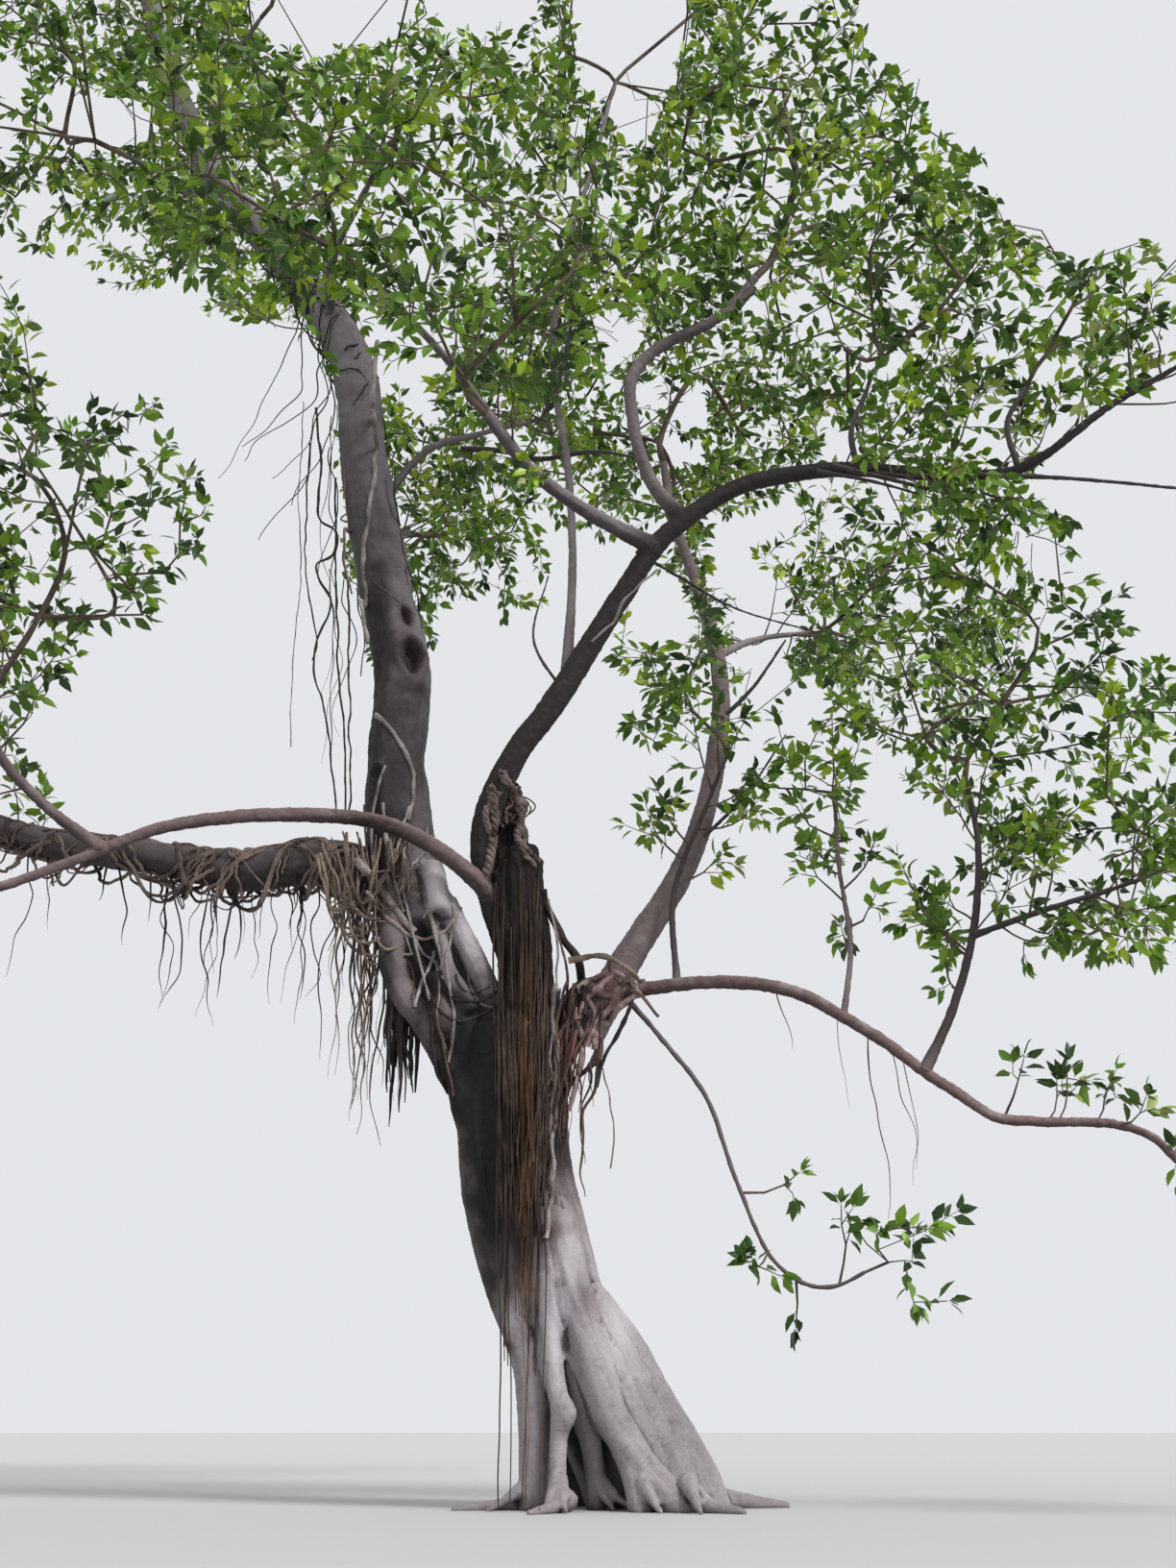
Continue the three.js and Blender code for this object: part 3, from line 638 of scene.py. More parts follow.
# The kinds of root: light and dark colour, size of the patches' noise and depth of the grain
rootLooks = {
    "fibre": ((0.10, 0.062, 0.044), (0.022, 0.015, 0.012), 5, 0.001),
    "ochre": ((0.19, 0.085, 0.028), (0.07, 0.04, 0.022), 5, 0.001),
    "knot": ((0.25, 0.185, 0.165), (0.030, 0.019, 0.017), 16, 0.002),
    "pink": ((0.47, 0.345, 0.33), (0.11, 0.062, 0.058), 11, 0.002),
    "rope": ((0.27, 0.195, 0.165), (0.05, 0.034, 0.031), 7, 0.001),
    "tan": ((0.30, 0.225, 0.175), (0.085, 0.058, 0.045), 7, 0.001),
    "dark": ((0.045, 0.032, 0.028), (0.012, 0.009, 0.009), 6, 0.001),
    "black": ((0.045, 0.03, 0.026), (0.012, 0.009, 0.008), 9, 0.002),
    "pale": ((0.40, 0.365, 0.345), (0.13, 0.105, 0.095), 10, 0.002),
    "red": ((0.17, 0.085, 0.07), (0.045, 0.022, 0.02), 8, 0.001),
}
twigLook = ((0.17, 0.125, 0.09), (0.045, 0.033, 0.026), 9, 0.001)

# Leaves: one plain colour each, dealt out by spray, with a waxy shine. Lighter tints go more to the top and
# outside of the crown and darker ones inside: painted light and shade
leafTints = {
    "leaf_dark": {"colour": (0.022, 0.056, 0.008), "share": 0.12},
    "leaf_deep": {"colour": (0.05, 0.115, 0.01), "share": 0.21},
    "leaf_green": {"colour": (0.095, 0.195, 0.014), "share": 0.28},
    "leaf_bright": {"colour": (0.165, 0.3, 0.018), "share": 0.24},
    "leaf_lit": {"colour": (0.3, 0.42, 0.022), "share": 0.11},
    "leaf_pale": {"colour": (0.27, 0.33, 0.09), "share": 0.04},
}


def leafMaterial(name):
    material, _, shader = newMaterial(name)
    shader.inputs["Base Color"].default_value = (*leafTints[name]["colour"], 1)
    shader.inputs["Roughness"].default_value = 0.42
    shader.inputs["Specular IOR Level"].default_value = 0.4
    return material


# Wood: radius at the start and at the end, and the route, in metres, that the solid is bent along
trunkColumns = [
    (0.19, 0.232, [(0.01, 0.02, -0.06), (-0.08, 0.01, 0.3), (-0.27, 0, 0.75), (-0.4, 0, 1.2),
        (-0.43, 0, 1.5), (-0.43, 0, 1.8)]),
    (0.232, 0.15, [(-0.43, 0, 1.7), (-0.43, -0.01, 1.85), (-0.4, -0.02, 1.96)]),
    (0.085, 0.095, [(-0.37, 0.02, 1.35), (-0.32, 0.03, 1), (-0.25, 0.03, 0.84), (-0.13, 0.04, 0.69),
        (-0.01, 0.045, 0.54), (0.1, 0.05, 0.38), (0.19, 0.055, 0.2), (0.28, 0.06, -0.06)]),
    (0.075, 0.092, [(-0.3, 0.12, 1.1), (-0.07, 0.18, 0.52), (0.14, 0.27, -0.06)]),
    (0.075, 0.09, [(-0.4, 0.11, 1.1), (-0.27, 0.19, 0.52), (-0.13, 0.29, -0.06)]),
    (0.07, 0.08, [(-0.42, 0.06, 1), (-0.34, 0.1, 0.6), (-0.31, 0.12, 0.45), (-0.28, 0.15, -0.06)]),
    (0.08, 0.098, [(-0.4, 0.02, 1.15), (-0.315, 0.02, 1.58), (-0.19, 0, 1.84), (-0.07, -0.01, 1.97)]),
]

surfaceRoots = [
    (0.055, 0.016, [(0.25, 0.04, 0.06), (0.42, 0.02, 0.025), (0.64, 0.06, 0.004)]),
    (0.042, 0.012, [(-0.28, -0.14, 0.03), (-0.43, -0.13, 0.014), (-0.62, -0.17, 0.002)]),
    (0.048, 0.014, [(0.18, -0.24, 0.05), (0.3, -0.33, 0.022), (0.43, -0.43, 0.004)]),
    (0.042, 0.012, [(-0.19, -0.25, 0.04), (-0.24, -0.35, 0.016), (-0.33, -0.46, 0.003)]),
    (0.046, 0.014, [(0.12, 0.24, 0.05), (0.21, 0.4, 0.02), (0.26, 0.56, 0.004)]),
    (0.044, 0.013, [(-0.13, 0.26, 0.05), (-0.2, 0.42, 0.018), (-0.33, 0.52, 0.004)]),
]

# Boughs: a place or the bough each grows from and how far along it, two radii, redness and shade, route
boughTable = {
    "stub": ((-0.4, -0.03, 1.5), 0.165, 0.062, (0.3, 1), [(-0.42, -0.05, 2.05), (-0.41, -0.075, 2.42),
        (-0.455, -0.08, 2.8)]),
    "leader": ((-0.45, 0, 1.4), 0.155, 0.05, (0.12, 0.5), [(-0.56, 0, 1.69), (-0.76, 0, 2.09),
        (-0.92, 0.02, 2.55), (-0.98, 0.05, 3.01), (-0.97, 0.08, 3.5), (-1.09, 0.1, 4.02),
        (-1.21, 0.12, 4.62), (-1.32, 0.15, 5.27), (-1.71, 0.25, 5.98), (-2.2, 0.4, 6.74),
        (-2.56, 0.55, 7.6), (-2.8, 0.66, 8.38)]),
    "centre": (("stub", 0.42), 0.061, 0.012, (0.35, 1.22), [(-0.521, -0.1, 2.342), (-0.562, -0.15, 2.56),
        (-0.532, -0.22, 2.731), (-0.419, -0.3, 2.944), (-0.287, -0.36, 3.106), (-0.06, -0.45, 3.457),
        (0.162, -0.53, 3.798), (0.28, -0.56, 3.908), (0.436, -0.58, 4.021), (0.591, -0.6, 4.089),
        (0.967, -0.68, 4.1), (1.4, -0.77, 4.015), (1.651, -0.84, 3.987), (1.789, -0.9, 4.035),
        (2.038, -0.98, 4.207), (2.31, -1.06, 4.344)]),
    "fore": (("centre", 0.46), 0.04, 0.021, (0.3, 0.45), [(-0.17, -0.75, 3.88), (-0.38, -1, 3.92),
        (-0.53, -1.2, 4.02)]),
    "fore_left": (("fore", 0.72), 0.022, 0.013, (0.3, 0.45), [(-0.7, -1.23, 4.28), (-1, -1.35, 4.56)]),
    "s_curve": (("centre", 0.5), 0.034, 0.023, (0.4, 0.5), [(0.178, -0.5, 4.126), (0.111, -0.47, 4.331),
        (0.082, -0.44, 4.542), (0.079, -0.42, 4.752), (0.162, -0.38, 4.921), (0.317, -0.34, 5.063),
        (0.457, -0.3, 5.167), (0.606, -0.24, 5.362), (0.702, -0.2, 5.523)]),
    "over_main": (("centre", 0.68), 0.015, 0.01, (0.3, 0.7), [(1.01, -0.76, 4.24), (1.08, -0.79, 4.42)]),
    "main_rise": (("centre", 0.83), 0.014, 0.01, (0.3, 0.7), [(1.64, -0.9, 4.19), (1.72, -0.95, 4.33)]),
    "sprout": (("centre", 0.3), 0.022, 0.012, (0.3, 0.5), [(-0.19, -0.2, 3.95), (-0.22, -0.05, 4.56),
        (-0.29, 0.08, 5.15), (-0.26, 0.2, 5.91), (-0.08, 0.3, 6.75), (0, 0.38, 7.24)]),
    "sprout_side": (("sprout", 0.45), 0.013, 0.009, (0.3, 0.6), [(-0.22, -0.12, 5.19),
        (-0.19, -0.25, 5.3)]),
    "right_stem": ((-0.13, -0.01, 1.8), 0.076, 0.022, (0.6, 0.42), [(0.04, 0.05, 2.12), (0.33, 0.25, 2.65),
        (0.48, 0.45, 3.18), (0.54, 0.65, 3.73), (0.47, 0.85, 4.33), (0.35, 1.05, 4.92), (0.31, 1.2, 5.38)]),
    "back_right": (("right_stem", 0.6), 0.024, 0.013, (0.4, 0.4), [(0.8, 1.18, 4.24), (1.15, 1.6, 4.5)]),
    "arch_left": (("stub", 0.58), 0.043, 0.017, (0.75, 0.42), [(-0.69, -0.25, 2.48), (-0.96, -0.4, 2.58),
        (-1.36, -0.55, 2.56), (-1.79, -0.65, 2.47), (-2.06, -0.75, 2.31), (-2.32, -0.85, 2.16),
        (-2.52, -0.93, 2.09)]),
    "arch_left_up": (("arch_left", 0.75), 0.026, 0.014, (0.7, 0.6), [(-2.22, -0.8, 2.51),
        (-2.4, -0.85, 2.7), (-2.46, -0.89, 2.9), (-2.38, -0.9, 3.09)]),
    "low_left": (("leader", 0.14), 0.125, 0.044, (0.35, 0.88), [(-1.27, 0.12, 2.59), (-1.67, 0.18, 2.57),
        (-2.11, 0.22, 2.65), (-2.61, 0.25, 2.74), (-3.26, 0.32, 2.96)]),
    "arch_right": ((-0.13, -0.02, 1.83), 0.034, 0.017, (0.85, 0.38), [(0.02, -0.07, 1.94),
        (0.15, -0.1, 1.966), (0.385, -0.16, 1.975), (0.616, -0.2, 1.948), (0.765, -0.24, 1.89),
        (0.908, -0.28, 1.793), (1.048, -0.32, 1.691), (1.182, -0.36, 1.569), (1.313, -0.4, 1.464),
        (1.428, -0.44, 1.375), (1.582, -0.46, 1.352), (1.859, -0.5, 1.335), (1.985, -0.53, 1.281),
        (2.06, -0.55, 1.19)]),
    "arch_sprout": (("arch_right", 0.17), 0.015, 0.009, (0.4, 0.97), [(0.25, 0, 2.41), (0.42, 0.06, 2.87),
        (0.47, 0.07, 3)]),
    "right_upright": (("arch_right", 0.6), 0.021, 0.012, (0.4, 0.97), [(1.33, -0.35, 1.83),
        (1.45, -0.32, 2.18), (1.5, -0.3, 2.52), (1.49, -0.29, 2.73)]),
    "upright_side": (("right_upright", 0.5), 0.014, 0.009, (0.4, 0.97), [(1.69, -0.4, 2.2),
        (1.95, -0.45, 2.27), (2.08, -0.47, 2.31)]),
    "thin_upright": (("arch_right", 0.45), 0.013, 0.009, (0.5, 0.6), [(0.96, -0.2, 2.11), (0.95, -0.1, 2.5),
        (0.96, -0.04, 2.76)]),
    "droop": (("arch_right", 0.08), 0.011, 0.007, (0.5, 0.75), [(0.2, -0.2, 1.7), (0.34, -0.3, 1.48),
        (0.44, -0.4, 1.14), (0.56, -0.45, 0.85), (0.68, -0.48, 0.76), (0.78, -0.5, 0.755),
        (0.88, -0.52, 0.8)]),
    "high_left": (("leader", 0.7), 0.027, 0.015, (0.2, 0.6), [(-2.25, 0.2, 6.45), (-2.56, 0.06, 6.53)]),
    "top_right": (("leader", 0.78), 0.028, 0.015, (0.2, 0.6), [(-2.18, 0.3, 7.35), (-1.96, 0.15, 7.62)]),
    "top_back": (("leader", 0.74), 0.028, 0.015, (0.2, 0.6), [(-2.48, 0.9, 7.15), (-2.6, 1.3, 7.4)]),
    "high_fore": (("leader", 0.57), 0.03, 0.016, (0.2, 0.5), [(-1.4, -0.15, 5.64), (-1.18, -0.48, 5.85)]),
    "back_left": (("leader", 0.33), 0.036, 0.017, (0.2, 0.5), [(-1.14, 0.65, 4.55), (-1.12, 1.35, 5),
        (-1.11, 1.56, 5.12)]),
    "leader_right": (("leader", 0.41), 0.024, 0.014, (0.2, 0.6), [(-0.95, 0.3, 4.84), (-0.7, 0.7, 5.23),
        (-0.45, 1.15, 5.62)]),
}

# Boughs whose taper differs from the others'
ownTapers = {
    "leader": {"curve": 1.3, "collar": 1, "collarLimit": 0.03},
    "centre": {"curve": 1.3, "collarLimit": 0.004},
}


def boughTaper(thick, thin, collar=0.3, collarLimit=0.010, collarShare=0.14, curve=0.8):
    def radiusAt(share):
        swell = min(collar * thick, collarLimit) * np.maximum(0, 1 - share / collarShare) ** 2
        return thick + (thin - thick) * share**curve + swell

    return radiusAt


def pointAlong(limb, share):
    return placesAlong(share * limb["along"][-1], limb["along"], limb["route"])


trunkTone = (0.10, 0.0)


def taperedLimb(thick, thin, route, tone=trunkTone):
    return makeLimb(route, straightTaper(thick, thin), tone)


# A bough that starts on another one takes on that one's tone at its root
def makeBough(name):
    start, thick, thin, tone, route = boughTable[name]
    parent = boughs.get(start[0])
    first = pointAlong(parent, start[1]) if parent else start
    limb = makeLimb([first, *route], boughTaper(thick, thin, **ownTapers.get(name, {})), tone)
    limb["rootTone"] = parent["tone"] if parent else trunkTone
    return limb


columns = [taperedLimb(*column) for column in trunkColumns + surfaceRoots]
boughs = {}
for boughName in boughTable:
    boughs[boughName] = makeBough(boughName)


# A place by chance, up to reach from another along each axis
def nearby(place, reach, draw):
    return np.array(place) + draw.uniform(-1, 1, 3) * reach


# A route that sways to the sides as it goes, less near its start
def wavyRoute(points, sway, waveLength, seed, gap=0.03, steady=0.15):
    route = evenRoute(smoothRoute(points), gap)
    along = lengthsAlong(route)
    ease = np.clip(along / steady, 0, 1)[:, None]
    swing = [lineNoise(along / waveLength, seed * 3.7, seed, 17.3 * axis) for axis in range(3)]
    return route + np.stack(swing, axis=1) * sway * ease * [1, 1, 0.5]


# Lays a route on a piece: points nearer than reach go to its surface, lifted by lift
def hugSurface(route, piece, lift, reach):
    laid = []
    for point in route:
        found, place, normal, _ = piece.closest_point_on_mesh(Vector(point))
        near = found and (place - Vector(point)).length < reach
        laid.append(np.array(place + normal * lift) if near else point)
    return np.array(laid)


def thinned(radii, seed, share=0.25):
    return radii * (1 + share * lineNoise(np.arange(len(radii)) * 0.35, seed, seed))


# Trunk: fused columns, ridges of grown-in roots over them, knobs and toes
trunkBark = {
    "bodyVoxel": 0.012,
    "bodySmoothing": 16,
    "bodySwell": 0.005,
    "voxel": 0.0075,
    "smoothing": 5,
    "relief": 0.5,
    "kept": 0.62,
    "ridges": 18,
    "ridgeThick": (0.007, 0.018),
    "ridgeTop": (0.9, 1.75),
    "ridgeFoot": (0.0, 0.45),
    "ridgeSway": 0.35,
    "ridgeSink": 0.5,
    "toes": 2,
    "toeSpread": 0.65,
    "toeReach": (0.06, 0.15),
    "toeThick": (0.036, 0.007),
    "coreTop": 0.7,
    "coreSlimming": 0.4,
    "coreSetBack": 0.08,
    "boughLap": 0.3,
    "boughSlimming": 0.9,
}

# Thin roots grown into the bark below the fork
forkRoots = {
    "strands": 16,
    "top": (-0.12, -0.10, 1.86),
    "topReach": (0.08, 0.04, 0.09),
    "foot": (-0.25, -0.17, 1.30),
    "footReach": (0.06, 0.03, 0.24),
    "middleReach": (0.05, 0.02, 0.06),
    "thick": (0.009, 0.02),
}

# The front legs and the smooth sheet on the right, which take the place of the solids' front columns
trunkLegs = [
    (0.066, 0.06, [(-0.575, -0.12, 1.52), (-0.562, -0.13, 1.25), (-0.53, -0.125, 1.05),
        (-0.485, -0.12, 0.875), (-0.43, -0.12, 0.72), (-0.375, -0.13, 0.6), (-0.34, -0.14, 0.52),
        (-0.325, -0.145, 0.4), (-0.315, -0.15, 0.2), (-0.31, -0.15, -0.05)]),
    (0.06, 0.023, [(-0.36, -0.14, 1.2), (-0.3, -0.18, 0.8), (-0.262, -0.21, 0.55), (-0.238, -0.225, 0.42),
        (-0.22, -0.245, 0.32), (-0.228, -0.25, 0.23), (-0.226, -0.26, 0.12), (-0.225, -0.28, -0.05)]),
    (0.06, 0.032, [(-0.24, -0.12, 0.85), (-0.175, -0.145, 0.55), (-0.143, -0.15, 0.4), (-0.13, -0.15, 0.32),
        (-0.11, -0.14, 0.233), (-0.095, -0.13, 0.13), (-0.09, -0.12, -0.05)]),
    (0.075, 0.055, [(-0.25, -0.13, 1.05), (-0.16, -0.16, 0.67), (-0.1, -0.19, 0.48), (-0.073, -0.205, 0.4),
        (-0.045, -0.215, 0.32), (0.014, -0.23, 0.233), (0.09, -0.25, 0.13), (0.18, -0.28, 0.04),
        (0.23, -0.29, -0.05)]),
    (0.05, 0.038, [(-0.03, -0.215, 0.3), (0.015, -0.235, 0.2), (0.05, -0.265, 0.1), (0.07, -0.29, -0.05)]),
    (0.09, 0.08, [(-0.34, -0.06, 1.5), (-0.33, -0.07, 1.25), (-0.31, -0.085, 1), (-0.24, -0.095, 0.8),
        (-0.17, -0.1, 0.694), (-0.07, -0.105, 0.545), (0, -0.11, 0.4), (0.07, -0.12, 0.25),
        (0.15, -0.13, -0.05)]),
    (0.095, 0.09, [(-0.31, -0.02, 1.65), (-0.31, -0.03, 1.25), (-0.295, -0.03, 1), (-0.262, -0.035, 0.875),
        (-0.205, -0.035, 0.8), (-0.1, -0.035, 0.694), (0.015, -0.035, 0.545), (0.097, -0.035, 0.4),
        (0.185, -0.035, 0.256), (0.28, -0.035, 0.1), (0.34, -0.035, -0.05)]),
    (0.055, 0.05, [(-0.31, -0.12, 1.25), (-0.26, -0.155, 0.95), (-0.205, -0.17, 0.66)]),
    (0.085, 0.09, [(-0.12, -0.078, 0.72), (-0.035, -0.08, 0.56), (0.045, -0.08, 0.42),
        (0.125, -0.085, 0.26), (0.2, -0.085, 0.1), (0.24, -0.085, -0.05)]),
    (0.09, 0.09, [(-0.42, -0.08, 1.3), (-0.36, -0.09, 0.9), (-0.29, -0.1, 0.62)]),
]

# Fillings of the grooves behind: between which two columns, down to what height, how thick
trunkWebs = [
    (2, 3, 0, 0.085),
    (3, 4, 0.3, 0.08),
    (4, 5, 0.4, 0.08),
]

# Lumps: greatest radius and route
trunkKnobs = [
    (0.03, [(-0.215, -0.245, 0.38), (-0.19, -0.275, 0.325), (-0.215, -0.265, 0.26)]),
    (0.02, [(-0.365, -0.11, 0.56), (-0.41, -0.135, 0.565), (-0.425, -0.14, 0.56)]),
    (0.024, [(-0.22, -0.27, 0.09), (-0.2, -0.32, 0.06), (-0.19, -0.35, 0.04)]),
    (0.055, [(-0.66, -0.05, 1.66), (-0.62, -0.12, 1.5), (-0.6, -0.1, 1.36)]),
]

# Stains and painted light and shade on the bark, most round the fork: where, how far, and what they add to
# redness and shade. Most that add shade are painted shade (the black recess at the fork, the shaded left of
# the trunk, the gaps between the legs, the lower leader); those that take shade away are painted sunlit
# patches; the rest are reddish stains
barkStainsAndPaintedLight = [
    ((-0.575, -0.16, 1.63), (0.12, 0.3, 0.22), 0.3, 2.4),
    ((-0.38, -0.25, 1.6), (0.2, 0.25, 0.5), 0.3, 1.6),
    ((-0.49, -0.16, 1.3), (0.09, 0.3, 0.3), 0.2, 1.6),
    ((-0.19, -0.12, 1.72), (0.09, 0.3, 0.36), 0.5, 1.5),
    ((-0.18, -0.1, 1.35), (0.08, 0.3, 0.25), 0.6, 0.7),
    ((-0.05, -0.1, 1.93), (0.1, 0.15, 0.11), 0.8, 0.6),
    ((-0.49, -0.14, 1.05), (0.05, 0.2, 0.34), 0.2, 0.85),
    ((-0.66, 0, 1.15), (0.15, 0.4, 0.75), 0.1, 0.62),
    ((-0.42, -0.14, 0.563), (0.03, 0.05, 0.02), 0.6, 1),
    ((-0.27, -0.2, 0.98), (0.05, 0.1, 0.03), 0.6, 0.5),
    ((-0.15, -0.08, 0.2), (0.1, 0.07, 0.24), 0.2, 1.9),
    ((-0.275, -0.17, 0.25), (0.018, 0.06, 0.25), 0.2, 0.6),
    ((-0.1, -0.1, 0), (0.6, 0.6, 0.04), 0.3, 0.35),
    ((-0.815, -0.15, 2.12), (0.05, 0.2, 0.12), 0.4, 2.2),
    ((-0.785, -0.15, 1.93), (0.04, 0.2, 0.1), 0.4, 1.8),
    ((-0.66, -0.15, 2), (0.03, 0.2, 0.09), 0.3, 1),
    ((-0.96, -0.1, 2.04), (0.05, 0.3, 0.16), 0, 0.9),
    ((-1.02, -0.05, 2.55), (0.12, 0.4, 0.3), 0.3, 0.8),
    ((-0.73, -0.2, 2.25), (0.05, 0.1, 0.012), 0.3, 1.2),
    ((-0.765, -0.2, 2.37), (0.07, 0.1, 0.12), 0.05, -0.95),
    ((-0.62, -0.2, 2.12), (0.06, 0.1, 0.18), 0.05, -0.6),
    ((-0.67, -0.2, 1.95), (0.03, 0.1, 0.09), 0, -0.7),
    ((-0.36, -0.2, 1.12), (0.08, 0.2, 0.28), 1, 0.8),
    ((-1.18, 0, 4.5), (0.3, 0.4, 0.6), 0, 0.25),
    ((-0.2, -0.2, 0.9), (0.05, 0.2, 0.2), -0.1, -0.5),
    ((0, -0.15, 0.62), (0.06, 0.2, 0.16), -0.1, -0.5),
    ((-0.25, -0.25, 0.56), (0.03, 0.1, 0.16), -0.1, -0.5),
    ((-0.13, -0.2, 0.74), (0.05, 0.1, 0.07), 0.3, 0.45),
    ((-1.08, -0.05, 3.6), (0.05, 0.3, 0.5), 0.2, 0.45),
    ((-0.95, 0, 3), (0.25, 0.4, 0.5), 0.1, 0.55),
    ((-1.05, 0, 3.9), (0.3, 0.4, 0.8), 0, 0.2),
]


def coreAt(height):
    route = columns[0]["route"]
    return np.array([*(np.interp(height, route[:, 2], route[:, axis]) for axis in range(2)), height])


def trunkRidges(body):
    look = trunkBark
    draw = np.random.default_rng(5)
    for i in range(look["ridges"]):
        turn = 2 * math.pi * (i + 0.7 * draw.random()) / look["ridges"]
        top = draw.uniform(*look["ridgeTop"])
        heights = np.arange(top, draw.uniform(*look["ridgeFoot"]), -0.04)
        sway = lineNoise(heights * 2.2, i * 5.1, i)
        thick = draw.uniform(*look["ridgeThick"])
        route = []
        for height, swing in zip(heights, sway):
            angle = turn + look["ridgeSway"] * swing
            away = Vector((math.cos(angle), math.sin(angle), 0))
            hit, place, _, _ = body.ray_cast(Vector(coreAt(height)), away)
            if hit:
                route.append(np.array(place - away * thick * look["ridgeSink"]))
        if len(route) > 4:
            swell = np.sin(np.linspace(0.25, 2.9, len(route))) ** 0.5
            yield np.array(route), thick * swell


def trunkToes():
    look = trunkBark
    draw = np.random.default_rng(8)
    for _, thin, footing in trunkLegs[:5] + trunkColumns[2:6]:
        foot = np.array(footing[-1]) * [1, 1, 0]
        outward = unit(foot - [-0.1, 0, 0])
        for _ in range(look["toes"]):
            turn = draw.normal(0, look["toeSpread"])
            way = np.array([
                outward[0] * math.cos(turn) - outward[1] * math.sin(turn),
                outward[0] * math.sin(turn) + outward[1] * math.cos(turn),
                0,
            ])
            reach = thin + draw.uniform(*look["toeReach"])
            points = [foot + [0, 0, 0.11], foot + way * 0.6 * reach + [0, 0, 0.035], foot + way * reach]
            route = wavyRoute(points, 0.012, 0.1, int(draw.integers(99)))
            yield route, np.linspace(*look["toeThick"], len(route))


def forkKnot(body):
    look = forkRoots
    draw = np.random.default_rng(21)
    for i in range(look["strands"]):
        top = nearby(look["top"], look["topReach"], draw)
        foot = nearby(look["foot"], look["footReach"], draw)
        middle = nearby((top + foot) / 2, look["middleReach"], draw)
        thick = draw.uniform(*look["thick"])
        route = hugSurface(wavyRoute([top, middle, foot], 0.035, 0.16, i), body, 0.4 * thick, 0.12)
        for _ in range(4):
            route[1:-1] = (route[:-2] + 2 * route[1:-1] + route[2:]) / 4
        yield route, thinned(np.linspace(thick, 0.6 * thick, len(route)), i)


# A column midway between two others, down to a height
def webBetween(one, other, until, thick):
    first, second = (pointAlong(columns[number], np.linspace(0, 1, 60)) for number in (one, other))
    route = first + (second - first) * 0.5
    route = route[route[:, 2] > until]
    return route, np.linspace(thick, 0.8 * thick, len(route))


def joinPieces(main, others):
    makeActive(main)
    for other in others:
        other.select_set(True)
    bpy.ops.object.join()
    return main


# The first column, thinner and further back towards its foot, behind the legs
def slimmedCore():
    core = dict(columns[0])
    low = np.clip(1 - core["route"][:, 2] / trunkBark["coreTop"], 0, 1)
    core["route"] = core["route"] + np.outer(low, [0, trunkBark["coreSetBack"], 0])
    core["radii"] = core["radii"] * (1 - trunkBark["coreSlimming"] * low)
    return core


def makeTrunk(bark):
    look = trunkBark
    legs = [taperedLimb(*leg) for leg in trunkLegs]
    behind = [slimmedCore()] + columns[1:len(trunkColumns)]
    creeping = columns[len(trunkColumns):]
    parts = [strandOf(column) for column in behind + legs]
    parts += [webBetween(*web) for web in trunkWebs]
    for thick, places in trunkKnobs:
        route = evenRoute(smoothRoute(places), 0.02)
        parts.append((route, thick * np.sin(np.linspace(0.9, 2.6, len(route)))))
    for name in ("right_stem", "arch_right", "leader"):
        limb = boughs[name]
        near = limb["along"] < look["boughLap"]
        parts.append((limb["route"][near], limb["radii"][near] * look["boughSlimming"]))
    trunk = fusedPiece("trunk_bark", parts, look["bodyVoxel"], look["bodySmoothing"])
    applyModifier(trunk, "DISPLACE", strength=look["bodySwell"], mid_level=0)
    details = [*trunkRidges(trunk), *trunkToes(), *forkKnot(trunk), *map(strandOf, creeping)]
    joinPieces(trunk, [tubePiece("trunk_details", details, 4)])
    applyModifier(trunk, "REMESH", mode="VOXEL", voxel_size=look["voxel"])
    applyModifier(trunk, "SMOOTH", factor=0.5, iterations=look["smoothing"])
    bpy.ops.object.mode_set(mode="EDIT")
    bpy.ops.mesh.select_all(action="SELECT")
    bpy.ops.mesh.bisect(plane_co=(0, 0, 0.001), plane_no=(0, 0, 1), clear_inner=True, use_fill=True)
    bpy.ops.object.mode_set(mode="OBJECT")
    reliefBark(trunk, behind + legs + creeping, 3, look["relief"], look["kept"])
    paintStainsAndShade(trunk)
    finishPiece(trunk, "bark_pale", bark, "trunk")
    return trunk


# Lays the table's stains, painted shade and painted light on a piece's redness and shade numbers
def paintStainsAndShade(piece):
    places = vertexPlaces(piece)
    ragged = 1 + 0.25 * layeredNoise(places * 11, 3, 9)
    tones = {name: readNumbers(piece, name) for name in ("redness", "shade")}
    for place, reach, *adds in barkStainsAndPaintedLight:
        away = (places - place) / reach
        share = np.exp(-np.square(away).sum(axis=1) * ragged)
        for name, add in zip(tones, adds):
            tones[name] = np.clip(tones[name] + add * share, -1, 2).astype(np.float32)
    for name, values in tones.items():
        writeNumbers(piece, name, values)


# The broken stub: a column of rotting roots with a ragged top, and a mat of fibres down the trunk's front
stubFibres = {
    "voxel": 0.0062,
    "smoothing": 3,
    "route": [(-0.375, -0.08, 1.45), (-0.372, -0.1, 1.77), (-0.378, -0.12, 2.05), (-0.412, -0.13, 2.343),
              (-0.42, -0.13, 2.56)],
    "thick": 0.102,
    "cords": 42,
    "cordThick": (0.006, 0.018),
    "cordStart": (0.0, 0.15),
    "cordEnd": (0.72, 0.99),
    "cordLean": (-14, 14),
    "cordSway": 9,
    "splinters": 0.6,
    "splinterAside": (-0.03, 0.03),
    "splinterUp": (0.02, 0.07),
    "crown": [(-0.42, -0.13, 2.46), (-0.445, -0.13, 2.57), (-0.462, -0.13, 2.67), (-0.47, -0.13, 2.78)],
    "crownThick": (0.100, 0.038),
    "hole": (-0.462, -0.22, 2.60),
    "holeReach": (0.040, 0.09, 0.085),
    "holeDepth": 0.05,
    "relief": 0.7,
    "matStrands": 44,
    "matTop": (-0.37, -0.2, 1.75),
    "matWidth": 0.115,
    "matFoot": (0.82, 1.25),
    "matThick": (0.005, 0.013),
}


